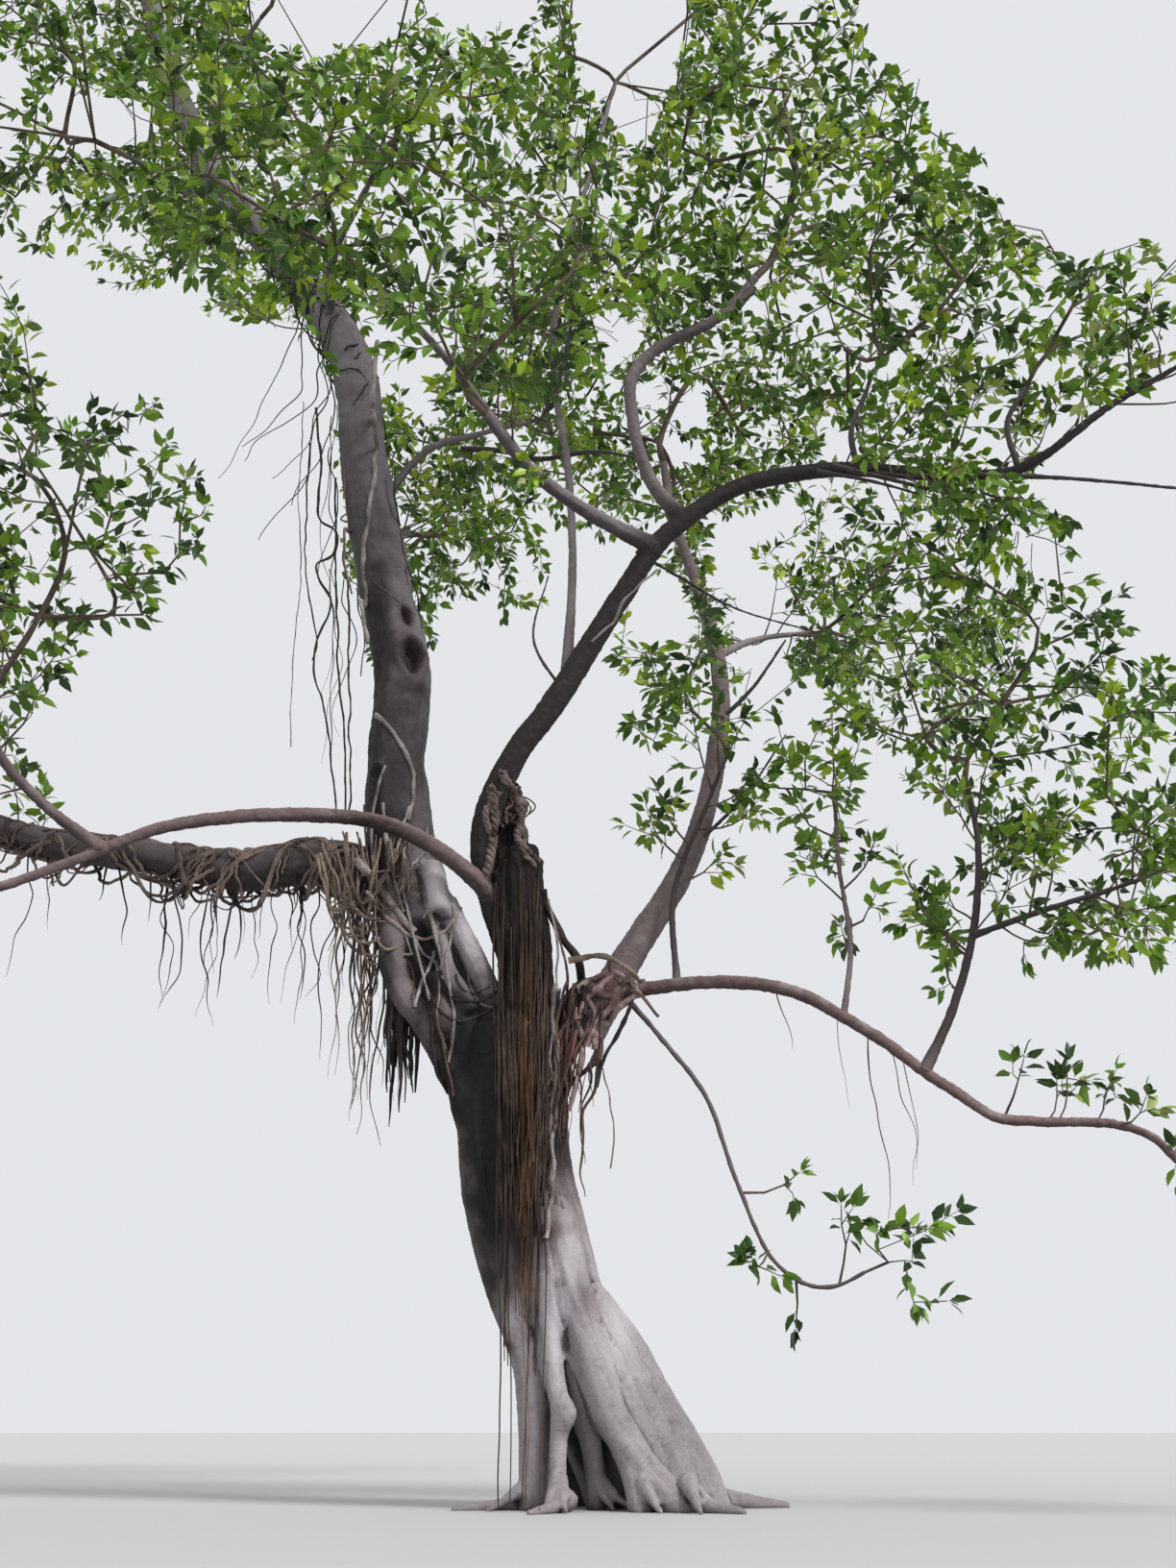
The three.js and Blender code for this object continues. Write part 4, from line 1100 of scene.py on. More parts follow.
def stubCords(stub):
    look = stubFibres
    draw = np.random.default_rng(31)
    for i in range(look["cords"]):
        turn = 360 * (i + 0.6 * draw.random()) / look["cords"]
        start = draw.uniform(*look["cordStart"])
        shares = np.arange(start, draw.uniform(*look["cordEnd"]), 0.025)
        sway = lineNoise(shares * 5, i * 4.3, i)
        thick = draw.uniform(*look["cordThick"])
        turns = turn + draw.uniform(*look["cordLean"]) * shares + look["cordSway"] * sway
        route = [onLimb(stub, *place, -0.3 * thick) for place in zip(shares, turns)]
        if len(route) > 3 and draw.random() < look["splinters"]:
            aside = draw.uniform(*look["splinterAside"], 2)
            route.append(route[-1] + np.array([*aside, draw.uniform(*look["splinterUp"])]))
        yield np.array(route), thinned(np.full(len(route), thick), i, 0.2)


def fibreMat(trunk):
    look = stubFibres
    draw = np.random.default_rng(33)
    top = np.array(look["matTop"])
    for i in range(look["matStrands"]):
        aside = look["matWidth"] * (2 * (i + draw.random()) / look["matStrands"] - 1)
        start = top + [aside, 0, draw.uniform(-0.1, 0.15)]
        low = draw.uniform(*look["matFoot"]) + abs(aside)
        foot = np.array([top[0] + 0.8 * aside + 0.03, -0.3, low])
        thick = draw.uniform(*look["matThick"])
        route = wavyRoute([start, (start + foot) / 2, foot], 0.012, 0.3, i)
        route = hugSurface(route, trunk, 0.2 * thick, 0.4)
        yield route, np.linspace(thick, 0.35 * thick, len(route))


def makeStub(trunk, fibres):
    look = stubFibres
    stub = taperedLimb(look["thick"], look["thick"], look["route"], boughTable["stub"][3])
    boughs["stub"] = stub
    crown = evenRoute(smoothRoute(look["crown"]), 0.02)
    parts = [(stub["route"], stub["radii"] * 0.93), (crown, np.linspace(*look["crownThick"], len(crown)))]
    parts += [*stubCords(stub), *fibreMat(trunk)]
    piece = fusedPiece("fibrous_stub", parts, look["voxel"], look["smoothing"])
    places = vertexPlaces(piece)
    away = (places - look["hole"]) / look["holeReach"]
    inHole = np.exp(-np.square(away).sum(axis=1))
    setVertexPlaces(piece, places + inHole[:, None] * [0, look["holeDepth"], 0])
    reliefBark(piece, [stub], 41, look["relief"])
    # painted shade: the hole in the stub's top is darkened through the hollow-shade number
    writeNumbers(piece, "hollowShade", np.clip(readNumbers(piece, "hollowShade") + 1.6 * inHole, 0, 1))
    finishPiece(piece, "rotten_wood", fibres, "broken_stub")
    return piece


# Boughs, fused in groups where they branch: piece, slot, voxel, seed and names
boughGroups = [
    ("leader_bark", "bark_pale", 0.0115, 51,
        ["leader", "high_left", "top_right", "top_back", "high_fore", "back_left", "leader_right"]),
    ("low_left_bark", "bark_dark", 0.0085, 53, ["low_left"]),
    ("centre_bark", "bark_dark", 0.0075, 55, ["centre", "fore", "s_curve"]),
    ("right_bark", "bark_red", 0.0078, 57, ["right_stem", "back_right", "arch_right"]),
    ("left_arch_bark", "bark_red", 0.006, 59, ["arch_left", "arch_left_up"]),
]

# A short broken end beside the last stretch of the s-shaped bough
brokenEnd = {
    "thick": 0.022,
    "thin": 0.017,
    "route": [(0.457, -0.3, 5.167), (0.58, -0.27, 5.27), (0.69, -0.25, 5.42)],
}

# Thin bare branches that leave the boughs: radius and route
thinBranches = [
    (0.013, [(1.28, -0.78, 4), (1.47, -0.9, 3.93), (1.82, -1, 3.85), (2.22, -1.1, 3.74)]),
    (0.012, [(0.92, -0.76, 4.07), (1.2, -0.8, 3.96), (1.48, -0.82, 3.86)]),
    (0.01, [(0.86, -0.7, 4.08), (1.1, -0.74, 4), (1.34, -0.78, 3.89)]),
    (0.009, [(1.1, -0.72, 4.06), (1.32, -0.8, 3.98), (1.6, -0.9, 3.9)]),
    (0.016, [(-0.76, 0.32, 4.88), (-0.55, 0.25, 4.82), (-0.37, 0.2, 4.74), (-0.1, 0.05, 4.68),
        (0.12, -0.2, 4.48)]),
    (0.008, [(0.09, -0.5, 3.8), (0.3, -0.3, 3.78), (0.55, -0.1, 3.74), (0.95, 0.1, 3.72)]),
    (0.012, [(0.5, 0.55, 3.45), (0.68, 0.5, 3.62), (0.85, 0.45, 3.86)]),
    (0.009, [(0.36, 0.28, 2.72), (0.6, 0.2, 2.95), (0.78, 0.1, 3.2)]),
    (0.008, [(-0.21, -0.3, 3.2), (-0.36, -0.25, 3.5), (-0.3, -0.2, 3.85)]),
]

slenderBoughs = ["fore_left", "over_main", "main_rise", "sprout", "sprout_side", "arch_sprout",
                 "right_upright", "upright_side", "thin_upright", "droop"]

# Healed hollows of the leader: height, turn, reach aside and up, lip, depth, and how dark (a brown wound
# tint with painted shade inside the deeper holes)
leaderScars = [
    (3.52, 24, 0.056, 0.115, 0.014, 0.06, 1),
    (3.71, 28, 0.026, 0.06, 0.008, 0.03, 1),
    (4.02, -4, 0.026, 0.028, 0.012, -0.008, 0),
    (2.95, -30, 0.035, 0.04, 0.012, 0.01, 0),
    (2.13, -8, 0.06, 0.12, 0, 0.06, 0),
]

# Columns and lumps of the leader's foot: two radii, route, redness and shade
leaderFoot = [
    (0.058, 0.052, [(-0.79, -0.1, 2.5), (-0.755, -0.13, 2.37), (-0.74, -0.13, 2.28)], (0.1, 0)),
    (0.046, 0.052, [(-0.72, -0.1, 2.34), (-0.66, -0.13, 2.209), (-0.585, -0.14, 2.062),
        (-0.534, -0.14, 1.945), (-0.5, -0.13, 1.82)], (0.1, 0.05)),
    (0.036, 0.036, [(-0.74, -0.12, 2.18), (-0.695, -0.15, 2.024), (-0.645, -0.16, 1.94),
        (-0.6, -0.15, 1.85)], (0.1, 0.1)),
    (0.058, 0.05, [(-0.97, -0.06, 2.46), (-0.944, -0.1, 2.24), (-0.938, -0.11, 2.1), (-0.915, -0.11, 2),
        (-0.865, -0.11, 1.91), (-0.8, -0.11, 1.83), (-0.73, -0.1, 1.72), (-0.66, -0.08, 1.58)],
        (0.35, 0.3)),
    (0.05, 0.045, [(-0.75, -0.12, 1.9), (-0.71, -0.14, 1.82), (-0.69, -0.12, 1.74)], (0.4, 0.4)),
]


def shareAtHeight(limb, height):
    return np.interp(height, limb["route"][:, 2], limb["along"]) / limb["along"][-1]


def carveScars(piece, limb):
    places = vertexPlaces(piece)
    normals = vertexNormals(piece)
    lift = np.zeros(len(places))
    scarTintAndShade = np.zeros(len(places))
    ragged = 1 + 0.22 * layeredNoise(places * 13, 3, 58)
    for height, turn, reachAside, reachUp, lip, depth, dark in leaderScars:
        share = shareAtHeight(limb, height)
        heading = limb["headings"][limbIndex(limb, share)]
        offset = places - onLimb(limb, share, turn)
        up = offset @ heading
        side = np.linalg.norm(offset - np.outer(up, heading), axis=1)
        away = np.hypot(side / reachAside, up / reachUp) * ragged
        lift += lip * np.exp(-(((away - 1.05) / 0.35) ** 2))
        inside = np.clip(1.05 - away, 0, 1)
        lift -= depth * np.minimum(inside * 2, 1)
        scarTintAndShade = np.maximum(scarTintAndShade, dark * np.exp(-((away / 1.15) ** 4)))
    setVertexPlaces(piece, places + normals * lift[:, None])
    return scarTintAndShade


# Lumps half sunk into the boughs
barkLumps = {"perMetre": 1.2, "shares": (0.1, 0.9), "size": (0.25, 0.42), "sink": (-1.5, -0.45)}


def collarLumps(limbs, seed):
    look = barkLumps
    draw = np.random.default_rng(seed)
    lumps = []
    for limb in limbs:
        for _ in range(int(limb["along"][-1] * look["perMetre"])):
            share = draw.uniform(*look["shares"])
            thick = limb["radii"][limbIndex(limb, share)] * draw.uniform(*look["size"])
            turn = draw.uniform(0, 360)
            inner, outer = (onLimb(limb, share, turn, depth * thick) for depth in look["sink"])
            route = np.array([inner, np.mean([inner, outer], axis=0), outer])
            lumps.append((route, thick * np.array([1, 0.95, 0.6])))
    return lumps


def makeBoughGroup(bark, name, slot, voxel, seed, names):
    limbs = [boughs[bough] for bough in names]
    parts = [strandOf(limb) for limb in limbs] + collarLumps(limbs, seed)
    isLeader = name == "leader_bark"
    if isLeader:
        feet = [taperedLimb(*foot) for foot in leaderFoot]
        parts += [strandOf(foot) for foot in feet]
        limbs += feet
    if name == "centre_bark":
        route = evenRoute(smoothRoute(brokenEnd["route"]), 0.02)
        parts.append((route, np.linspace(brokenEnd["thick"], brokenEnd["thin"], len(route))))
    piece = fusedPiece(name, parts, voxel, 4)
    scarTintAndShade = carveScars(piece, limbs[0]) if isLeader else None
    reliefBark(piece, limbs, seed)
    if isLeader:
        tintAndShadeScars(piece, scarTintAndShade)
    paintStainsAndShade(piece)
    finishPiece(piece, slot, bark, *nodesOf("bough", names))
    return piece


# A brown wound tint and painted shade inside the leader's deeper scars
def tintAndShadeScars(piece, scarTintAndShade):
    for name, amount in (("redness", 1.0), ("shade", 0.75)):
        writeNumbers(piece, name, readNumbers(piece, name) * (1 - scarTintAndShade) + amount * scarTintAndShade)


def makeSlenderBoughs(bark):
    limbs = [boughs[name] for name in slenderBoughs]
    limbs += [taperedLimb(thick, 0.4 * thick, route, (0.35, 0.85)) for thick, route in thinBranches]
    piece = tubePiece("slender_bark", [strandOf(limb) for limb in limbs], 5)
    reliefBark(piece, limbs, 61, 0.8)
    finishPiece(piece, "bark_dark", bark, *nodesOf("bough", slenderBoughs))


# Aerial roots. Strands are (route, radii) pairs; each group below makes its own
def hangingStrand(start, drop, thick, seed, sway, waveLength, drift):
    start = np.array(start, float)
    foot = start + [drift[0], drift[1], -drop]
    middle = (start + foot) / 2 + [0.3 * drift[0], 0.3 * drift[1], 0]
    route = wavyRoute([start, middle, foot], sway, waveLength, seed, 0.025, 0.2)
    return route, thinned(thick * (1 - 0.8 * np.linspace(0, 1, len(route)) ** 2.5), seed, 0.2)


# How far back a piece begins, seen from the front past a point
def frontAt(piece, point):
    hit, place, _, _ = piece.ray_cast(Vector((point[0], -2.0, point[2])), Vector((0, 1, 0)))
    return place[1] if hit else math.inf


# Moves the points of a route that lie behind a piece's front to just before it
def inFrontOf(route, pieces, gap):
    route = np.array(route)
    for point in route:
        point[1] = min(point[1], *(frontAt(piece, point) - gap for piece in pieces))
    return route


def heldAbove(strand, height=0.004):
    route, radii = strand
    kept = route[:, 2] > height
    return route[kept], np.broadcast_to(radii, len(route))[kept]


# The curtain: fine brown strands from the stub's front, most of them ending part of the way down
curtain = {
    "strands": 64,
    "thick": (0.0015, 0.0045),
    "turns": (-62, 66),
    "shares": (0.15, 0.9),
    "ends": ((0.85, 1.3, 0.5), (0.45, 0.85, 0.3), (-0.05, 0.0, 0.2)),
    "footX": (-0.43, -0.28),
    "footY": -0.30,
    "brightBand": (-0.39, -0.33),
    "brightTop": 2.2,
}


def curtainStrands(fronts):
    look = curtain
    draw = np.random.default_rng(91)
    stub = boughs["stub"]
    for i in range(look["strands"]):
        thick = draw.uniform(*look["thick"])
        start = onLimb(stub, draw.uniform(*look["shares"]), draw.uniform(*look["turns"]), thick)
        low, high, _ = look["ends"][draw.choice(3, p=[end[2] for end in look["ends"]])]
        footHeight = draw.uniform(low, high)
        footX = 0.55 * start[0] + 0.45 * draw.uniform(*look["footX"])
        foot = [footX, look["footY"] - 0.10 * draw.random() * (footHeight < 0.1), footHeight]
        middle = [0.6 * start[0] + 0.4 * footX, min(start[1], -0.24), 0.55 * start[2] + 0.45 * footHeight]
        route = wavyRoute([start, middle, foot], 0.012, 0.35, i, 0.035, 0.3)
        route = inFrontOf(route, fronts, thick + 0.002)
        yield heldAbove((route, np.linspace(thick, 0.6 * thick, len(route))))


# Ropes that wind round a bough and sag below it
def windingRope(limb, start, span, turns, thick, sag, seed):
    steps = 26
    shares = np.linspace(start, start + span, steps)
    angles = np.linspace(*turns, steps)
    swing = lineNoise(shares * 22, seed * 2.9, seed)
    points = []
    for share, angle, sway, along in zip(shares, angles, swing, np.linspace(0, math.pi, steps)):
        below = max(0, -math.sin(math.radians(angle)))
        point = onLimb(limb, min(max(share + 0.012 * sway, 0), 1), angle, 0.55 * thick)
        points.append(point - [0, 0, sag * below * math.sin(along) + 0.008 * abs(sway)])
    route = evenRoute(smoothRoute(points, 4), 0.02)
    return route, thinned(np.full(len(route), thick), seed, 0.22)


lowLeftDrapes = {
    "ropes": 84,
    "ropeThick": (0.003, 0.011),
    "ropeSag": (0.01, 0.13),
    "strands": 64,
    "strandThick": (0.0016, 0.0055),
    "strandDrop": (0.15, 0.8),
    "bunchStrands": 34,
    "bunchTop": (-0.905, -0.05, 2.16),
    "bunchReach": (0.055, 0.05, 0.08),
    "bunchDrop": (0.35, 0.70),
    "bunchThick": (0.005, 0.017),
}


def lowLeftRopes():
    look = lowLeftDrapes
    draw = np.random.default_rng(93)
    limb = boughs["low_left"]
    for i in range(look["ropes"]):
        turn = draw.uniform(0, 360)
        span = draw.uniform(0.05, 0.28)
        start = draw.uniform(0.04, 0.97 - span)
        twist = draw.choice([-1, 1]) * draw.uniform(60, 380)
        thick = draw.uniform(*look["ropeThick"])
        sag = draw.uniform(*look["ropeSag"])
        yield windingRope(limb, start, span, (turn, turn + twist), thick, sag, 200 + i)


def lowLeftStrands():
    look = lowLeftDrapes
    draw = np.random.default_rng(94)
    limb = boughs["low_left"]
    for i in range(look["strands"]):
        share = draw.random() ** 1.6 * 0.95 + 0.02
        start = onLimb(limb, share, draw.uniform(-150, -30), 0.0)
        longer = 1.5 if share < 0.25 else 1.0
        drop = draw.uniform(*look["strandDrop"]) * longer * (0.4 + 0.6 * draw.random())
        thick = draw.uniform(*look["strandThick"])
        drift = draw.uniform(-0.05, 0.05, 2)
        yield hangingStrand(start, drop, thick, 300 + i, 0.045, 0.22, drift)
    for i in range(look["bunchStrands"]):
        start = nearby(look["bunchTop"], look["bunchReach"], draw)
        drop = draw.uniform(*look["bunchDrop"])
        drift = (0.02, draw.uniform(-0.02, 0.02))
        thick = draw.uniform(*look["bunchThick"])
        yield hangingStrand(start, drop, thick, 360 + i, 0.02, 0.2, drift)


# Paler strands where the low limb leaves the leader, and loops that hang from one to the other
junctionHangers = {
    "strands": 20,
    "place": (-1.09, -0.02, 2.56),
    "reach": (0.10, 0.07, 0.06),
    "drop": (0.5, 1.2),
    "thick": (0.003, 0.0085),
    "loops": 26,
    "loopReach": (0.25, 0.05, 0.07),
    "loopEnd": (-0.95, -0.12, 2.26),
    "loopEndReach": (0.12, 0.05, 0.22),
    "loopSag": (-0.30, -0.10),
    "loopThick": (0.003, 0.008),
}


def junctionStrands():
    draw = np.random.default_rng(99)
    look = junctionHangers
    for i in range(look["strands"]):
        start = nearby(look["place"], look["reach"], draw)
        drop = draw.uniform(*look["drop"])
        thick = draw.uniform(*look["thick"])
        drift = (draw.uniform(-0.02, 0.10), draw.uniform(-0.05, 0.0))
        yield hangingStrand(start, drop, thick, 600 + i, 0.04, 0.25, drift)
    for i in range(look["loops"]):
        start = nearby(look["place"], look["loopReach"], draw) + [0, -0.1, 0.03]
        end = nearby(look["loopEnd"], look["loopEndReach"], draw)
        middle = (start + end) / 2 + [draw.uniform(-0.06, 0.02), -0.05, draw.uniform(*look["loopSag"])]
        route = wavyRoute([start, middle, end], 0.018, 0.15, 650 + i, 0.02)
        yield route, thinned(np.full(len(route), draw.uniform(*look["loopThick"])), i)


# Roots that the photograph shows one by one: material, thickness, depth, and places across and up
seenRoots = [
    ("pale", 0.013, -0.12, [(-1.151, 5.21), (-1.155, 5.013), (-1.149, 4.709), (-1.15, 4.561),
        (-1.162, 4.34), (-1.165, 4.106), (-1.162, 3.912), (-1.145, 3.722), (-1.12, 3.55)]),
    ("pale", 0.011, -0.12, [(-1.07, 3.24), (-0.957, 3.094), (-0.901, 2.984), (-0.887, 2.828),
        (-0.904, 2.705)]),
    ("rope", 0.007, -0.05, [(-1.3, 4.6), (-1.268, 4.285), (-1.25, 4.017), (-1.205, 3.843)]),
    ("dark", 0.006, 0, [(-1.046, 4.561), (-1.026, 4.285), (-0.96, 4.017), (-0.905, 3.808), (-0.885, 3.7)]),
    ("red", 0.0035, -0.1, [(-1.11, 3.91), (-1.023, 3.832), (-0.921, 3.755)]),
    ("pale", 0.0085, -0.2, [(-0.685, 2.32), (-0.673, 2.247), (-0.694, 2.129), (-0.7, 2.042),
        (-0.695, 1.984), (-0.672, 1.87), (-0.673, 1.729), (-0.684, 1.646)]),
    ("pale", 0.019, -0.17, [(-1.1, 2.5), (-1.023, 2.425), (-0.955, 2.334), (-0.9, 2.251), (-0.846, 2.203)]),
    ("knot", 0.009, -0.2, [(-1.16, 2.35), (-1.086, 2.277), (-1.026, 2.229), (-0.993, 2.253),
        (-0.98, 2.34)]),
    ("pink", 0.009, -0.24, [(-1.04, 2.34), (-0.99, 2.282), (-0.919, 2.217), (-0.849, 2.176),
        (-0.759, 2.176), (-0.671, 2.235), (-0.65, 2.3)]),
    ("pale", 0.007, -0.2, [(-0.842, 2.17), (-0.806, 2.112), (-0.759, 2.082), (-0.735, 2.019),
        (-0.711, 1.984)]),
    ("pale", 0.009, -0.2, [(-0.761, 2.123), (-0.775, 2.042), (-0.806, 1.972), (-0.824, 1.869)]),
    ("red", 0.006, -0.2, [(-0.878, 2.088), (-0.848, 2.042), (-0.834, 1.972), (-0.84, 1.9)]),
    ("rope", 0.006, -0.2, [(-0.742, 2.077), (-0.733, 1.984), (-0.736, 1.904), (-0.727, 1.79), (-0.7, 1.7)]),
    ("black", 0.009, -0.24, [(-0.73, 2.02), (-0.706, 1.95), (-0.66, 1.899), (-0.588, 1.888),
        (-0.527, 1.905), (-0.478, 1.939)]),
    ("dark", 0.007, -0.25, [(-0.78, 1.95), (-0.742, 1.874), (-0.702, 1.834), (-0.635, 1.812),
        (-0.558, 1.834), (-0.476, 1.868)]),
    ("black", 0.01, -0.17, [(-0.753, 1.837), (-0.75, 1.741), (-0.729, 1.629), (-0.693, 1.546)]),
    ("red", 0.008, -0.17, [(-0.716, 1.761), (-0.702, 1.657), (-0.677, 1.574), (-0.66, 1.5)]),
    ("rope", 0.005, -0.2, [(-0.62, 2.05), (-0.6, 1.95), (-0.55, 1.88), (-0.5, 1.86)]),
    ("dark", 0.005, -0.2, [(-0.66, 2), (-0.62, 1.93), (-0.55, 1.93), (-0.49, 1.97)]),
    ("black", 0.019, -0.16, [(-0.31, 2.37), (-0.289, 2.305), (-0.24, 2.205), (-0.176, 2.081),
        (-0.144, 1.943), (-0.136, 1.846)]),
    ("pale", 0.005, -0.2, [(-0.285, 2.32), (-0.272, 2.259), (-0.25, 2.094), (-0.252, 1.852),
        (-0.248, 1.726), (-0.25, 1.6)]),
    ("red", 0.006, -0.18, [(-0.27, 2.26), (-0.251, 2.182), (-0.207, 2.018), (-0.222, 1.889), (-0.19, 1.739),
        (-0.2, 1.6)]),
    ("rope", 0.013, -0.2, [(-0.2, 2.055), (-0.159, 2.062), (-0.049, 2.07), (0.03, 2.029), (0.107, 1.972)]),
    ("rope", 0.01, -0.18, [(-0.033, 2.075), (0.014, 2.002), (0.107, 1.913), (0.176, 1.826)]),
    ("black", 0.01, -0.16, [(0.06, 1.9), (0.037, 1.838), (-0.027, 1.712), (-0.066, 1.633),
        (-0.089, 1.541)]),
    ("rope", 0.004, -0.16, [(-0.066, 1.633), (-0.036, 1.51), (-0.021, 1.343), (-0.029, 1.223)]),
    ("pink", 0.017, -0.16, [(-0.16, 1.96), (-0.13, 2), (-0.08, 2.03), (-0.02, 2.045), (0.04, 2.03)]),
    ("pink", 0.015, -0.16, [(-0.01, 2.045), (-0.055, 1.995), (-0.08, 1.95), (-0.125, 1.9), (-0.15, 1.83)]),
    ("pink", 0.021, -0.16, [(0.07, 2.03), (0.015, 1.975), (-0.01, 1.92), (-0.055, 1.865), (-0.1, 1.8),
        (-0.13, 1.71)]),
    ("pink", 0.014, -0.16, [(-0.1, 1.955), (-0.05, 1.93), (-0.005, 1.935), (0.045, 1.965)]),
    ("pink", 0.015, -0.16, [(0.09, 1.94), (0.03, 1.89), (-0.02, 1.84), (-0.07, 1.79), (-0.09, 1.7)]),
    ("pink", 0.012, -0.16, [(-0.155, 1.96), (-0.125, 1.92), (-0.1, 1.87), (-0.1, 1.81), (-0.14, 1.74)]),
    ("pink", 0.013, -0.16, [(0.05, 2.02), (0.07, 1.97), (0.085, 1.92)]),
    ("pink", 0.012, -0.16, [(-0.17, 1.88), (-0.16, 1.8), (-0.145, 1.7), (-0.17, 1.58), (-0.2, 1.45)]),
    ("red", 0.01, -0.16, [(-0.19, 1.92), (-0.185, 1.8), (-0.2, 1.68), (-0.21, 1.5), (-0.22, 1.35)]),
    ("knot", 0.021, -0.28, [(-0.53, 2.78), (-0.522, 2.738), (-0.524, 2.608), (-0.538, 2.503),
        (-0.547, 2.388), (-0.55, 2.33)]),
    ("knot", 0.014, -0.28, [(-0.5, 2.76), (-0.548, 2.67), (-0.515, 2.56), (-0.555, 2.45), (-0.53, 2.36)]),
    ("knot", 0.019, -0.24, [(-0.49, 2.84), (-0.459, 2.801), (-0.39, 2.706), (-0.416, 2.611),
        (-0.376, 2.529), (-0.321, 2.494)]),
    ("knot", 0.013, -0.24, [(-0.44, 2.8), (-0.41, 2.68), (-0.385, 2.6), (-0.4, 2.53), (-0.345, 2.46)]),
    ("knot", 0.012, -0.24, [(-0.53, 2.7), (-0.47, 2.68), (-0.41, 2.655), (-0.39, 2.6)]),
    ("pale", 0.013, -0.22, [(-0.25, 1.95), (-0.262, 1.83), (-0.25, 1.7), (-0.262, 1.55), (-0.275, 1.42),
        (-0.262, 1.25), (-0.268, 1.09), (-0.28, 0.95)]),
    ("pale", 0.006, -0.22, [(-0.235, 1.93), (-0.25, 1.8), (-0.27, 1.65), (-0.25, 1.5), (-0.26, 1.3),
        (-0.275, 1.12)]),
    ("dark", 0.007, 0, [(-1.45, 4.9), (-1.413, 4.594), (-1.384, 4.262), (-1.318, 4.207), (-1.31, 4.082),
        (-1.392, 4.028), (-1.38, 3.958), (-1.311, 3.835), (-1.37, 3.561), (-1.294, 3.196), (-1.259, 2.987),
        (-1.219, 2.75)]),
    ("dark", 0.004, 0, [(-1.47, 4.7), (-1.45, 4.2), (-1.423, 3.905), (-1.365, 3.595), (-1.375, 3.527)]),
    ("dark", 0.005, 0, [(-1.33, 4.5), (-1.31, 4.25), (-1.3, 4.046), (-1.262, 3.527), (-1.213, 3.196),
        (-1.183, 2.75)]),
    ("dark", 0.005, 0, [(-1.27, 4.1), (-1.234, 3.835), (-1.2, 3.36), (-1.161, 2.75)]),
    ("dark", 0.0035, 0, [(-1.2, 3.9), (-1.146, 3.629), (-1.159, 3.443)]),
    ("dark", 0.003, 0, [(-1.33, 4), (-1.308, 3.783), (-1.277, 3.527), (-1.282, 3.36), (-1.27, 3.1)]),
    ("rope", 0.003, 0.02, [(-1.52, 4.95), (-1.5, 4.4), (-1.46, 3.9), (-1.47, 3.5), (-1.45, 3.1)]),
    ("pale", 0.006, -0.62, [(-0.104, 3.374), (-0.04, 3.446), (0.033, 3.51), (0.107, 3.583),
        (0.173, 3.634)]),
]

leaderRoots = {
    "ropes": 14,
    "ropeThick": (0.004, 0.010),
    "longStrands": 4,
    "longShares": (0.37, 0.50),
    "longFoot": (2.9, 3.9),
    "longThick": (0.002, 0.004),
    "tangle": 26,
    "tangleShares": (0.47, 0.60),
    "tangleSpan": (0.03, 0.09),
    "tangleThick": (0.002, 0.006),
    "sweeps": 6,
    "sweepShares": (0.52, 0.60),
    "sweepAside": (-0.45, -0.05),
    "sweepDrop": (0.6, 1.35),
    "sweepThick": (0.0045, 0.002),
}


# Lays a route just before the foremost of some pieces, where it passes near one
def laidInFront(route, pieces, gap, reach=0.16):
    route = np.array(route)
    for point in route:
        front = min(frontAt(piece, point) for piece in pieces)
        if abs(front - point[1]) < reach:
            point[1] = front - gap
    for _ in range(3):
        route[1:-1, 1] = (route[:-2, 1] + 2 * route[1:-1, 1] + route[2:, 1]) / 4
    return route


# Knotted roots are cords laid round each other
braid = {"cords": 3, "pitch": 0.085, "spread": 0.55, "cordShare": 0.6, "lumps": 0.4}


def braidedCord(route, thick, cord, seed):
    look = braid
    turns = lengthsAlong(route) * 2 * math.pi / look["pitch"] + 2 * math.pi * cord / look["cords"]
    aside = np.column_stack([np.cos(turns), np.sin(turns), 0.4 * np.cos(turns + 1)])
    radii = look["cordShare"] * np.linspace(thick, 0.8 * thick, len(route))
    return route + aside * look["spread"] * thick, thinned(radii, seed + 31 * cord, look["lumps"])


def rootsSeen(fronts):
    strands = {}
    for i, (material, thick, depth, places) in enumerate(seenRoots):
        points = [(across, depth, up) for across, up in places]
        route = wavyRoute(points, 0.007 + 0.2 * thick, 0.12, 900 + i, 0.012, 0.02)
        route = laidInFront(route, fronts, 0.3 * thick)
        if material == "knot":
            cords = [braidedCord(route, thick, cord, i) for cord in range(braid["cords"])]
        else:
            cords = [(route, thinned(np.linspace(thick, 0.8 * thick, len(route)), i, 0.2))]
        strands.setdefault(material, []).extend(cords)
    return strands


def footRopes():
    leader = boughs["leader"]
    draw = np.random.default_rng(95)
    for i in range(leaderRoots["ropes"]):
        thick = draw.uniform(*leaderRoots["ropeThick"])
        turn = draw.uniform(-120, 60)
        twist = draw.uniform(-60, 170)
        span = draw.uniform(0.03, 0.09)
        start = draw.uniform(0.07, 0.15)
        yield windingRope(leader, start, span, (turn, turn + twist), thick, 0.0, 400 + i)


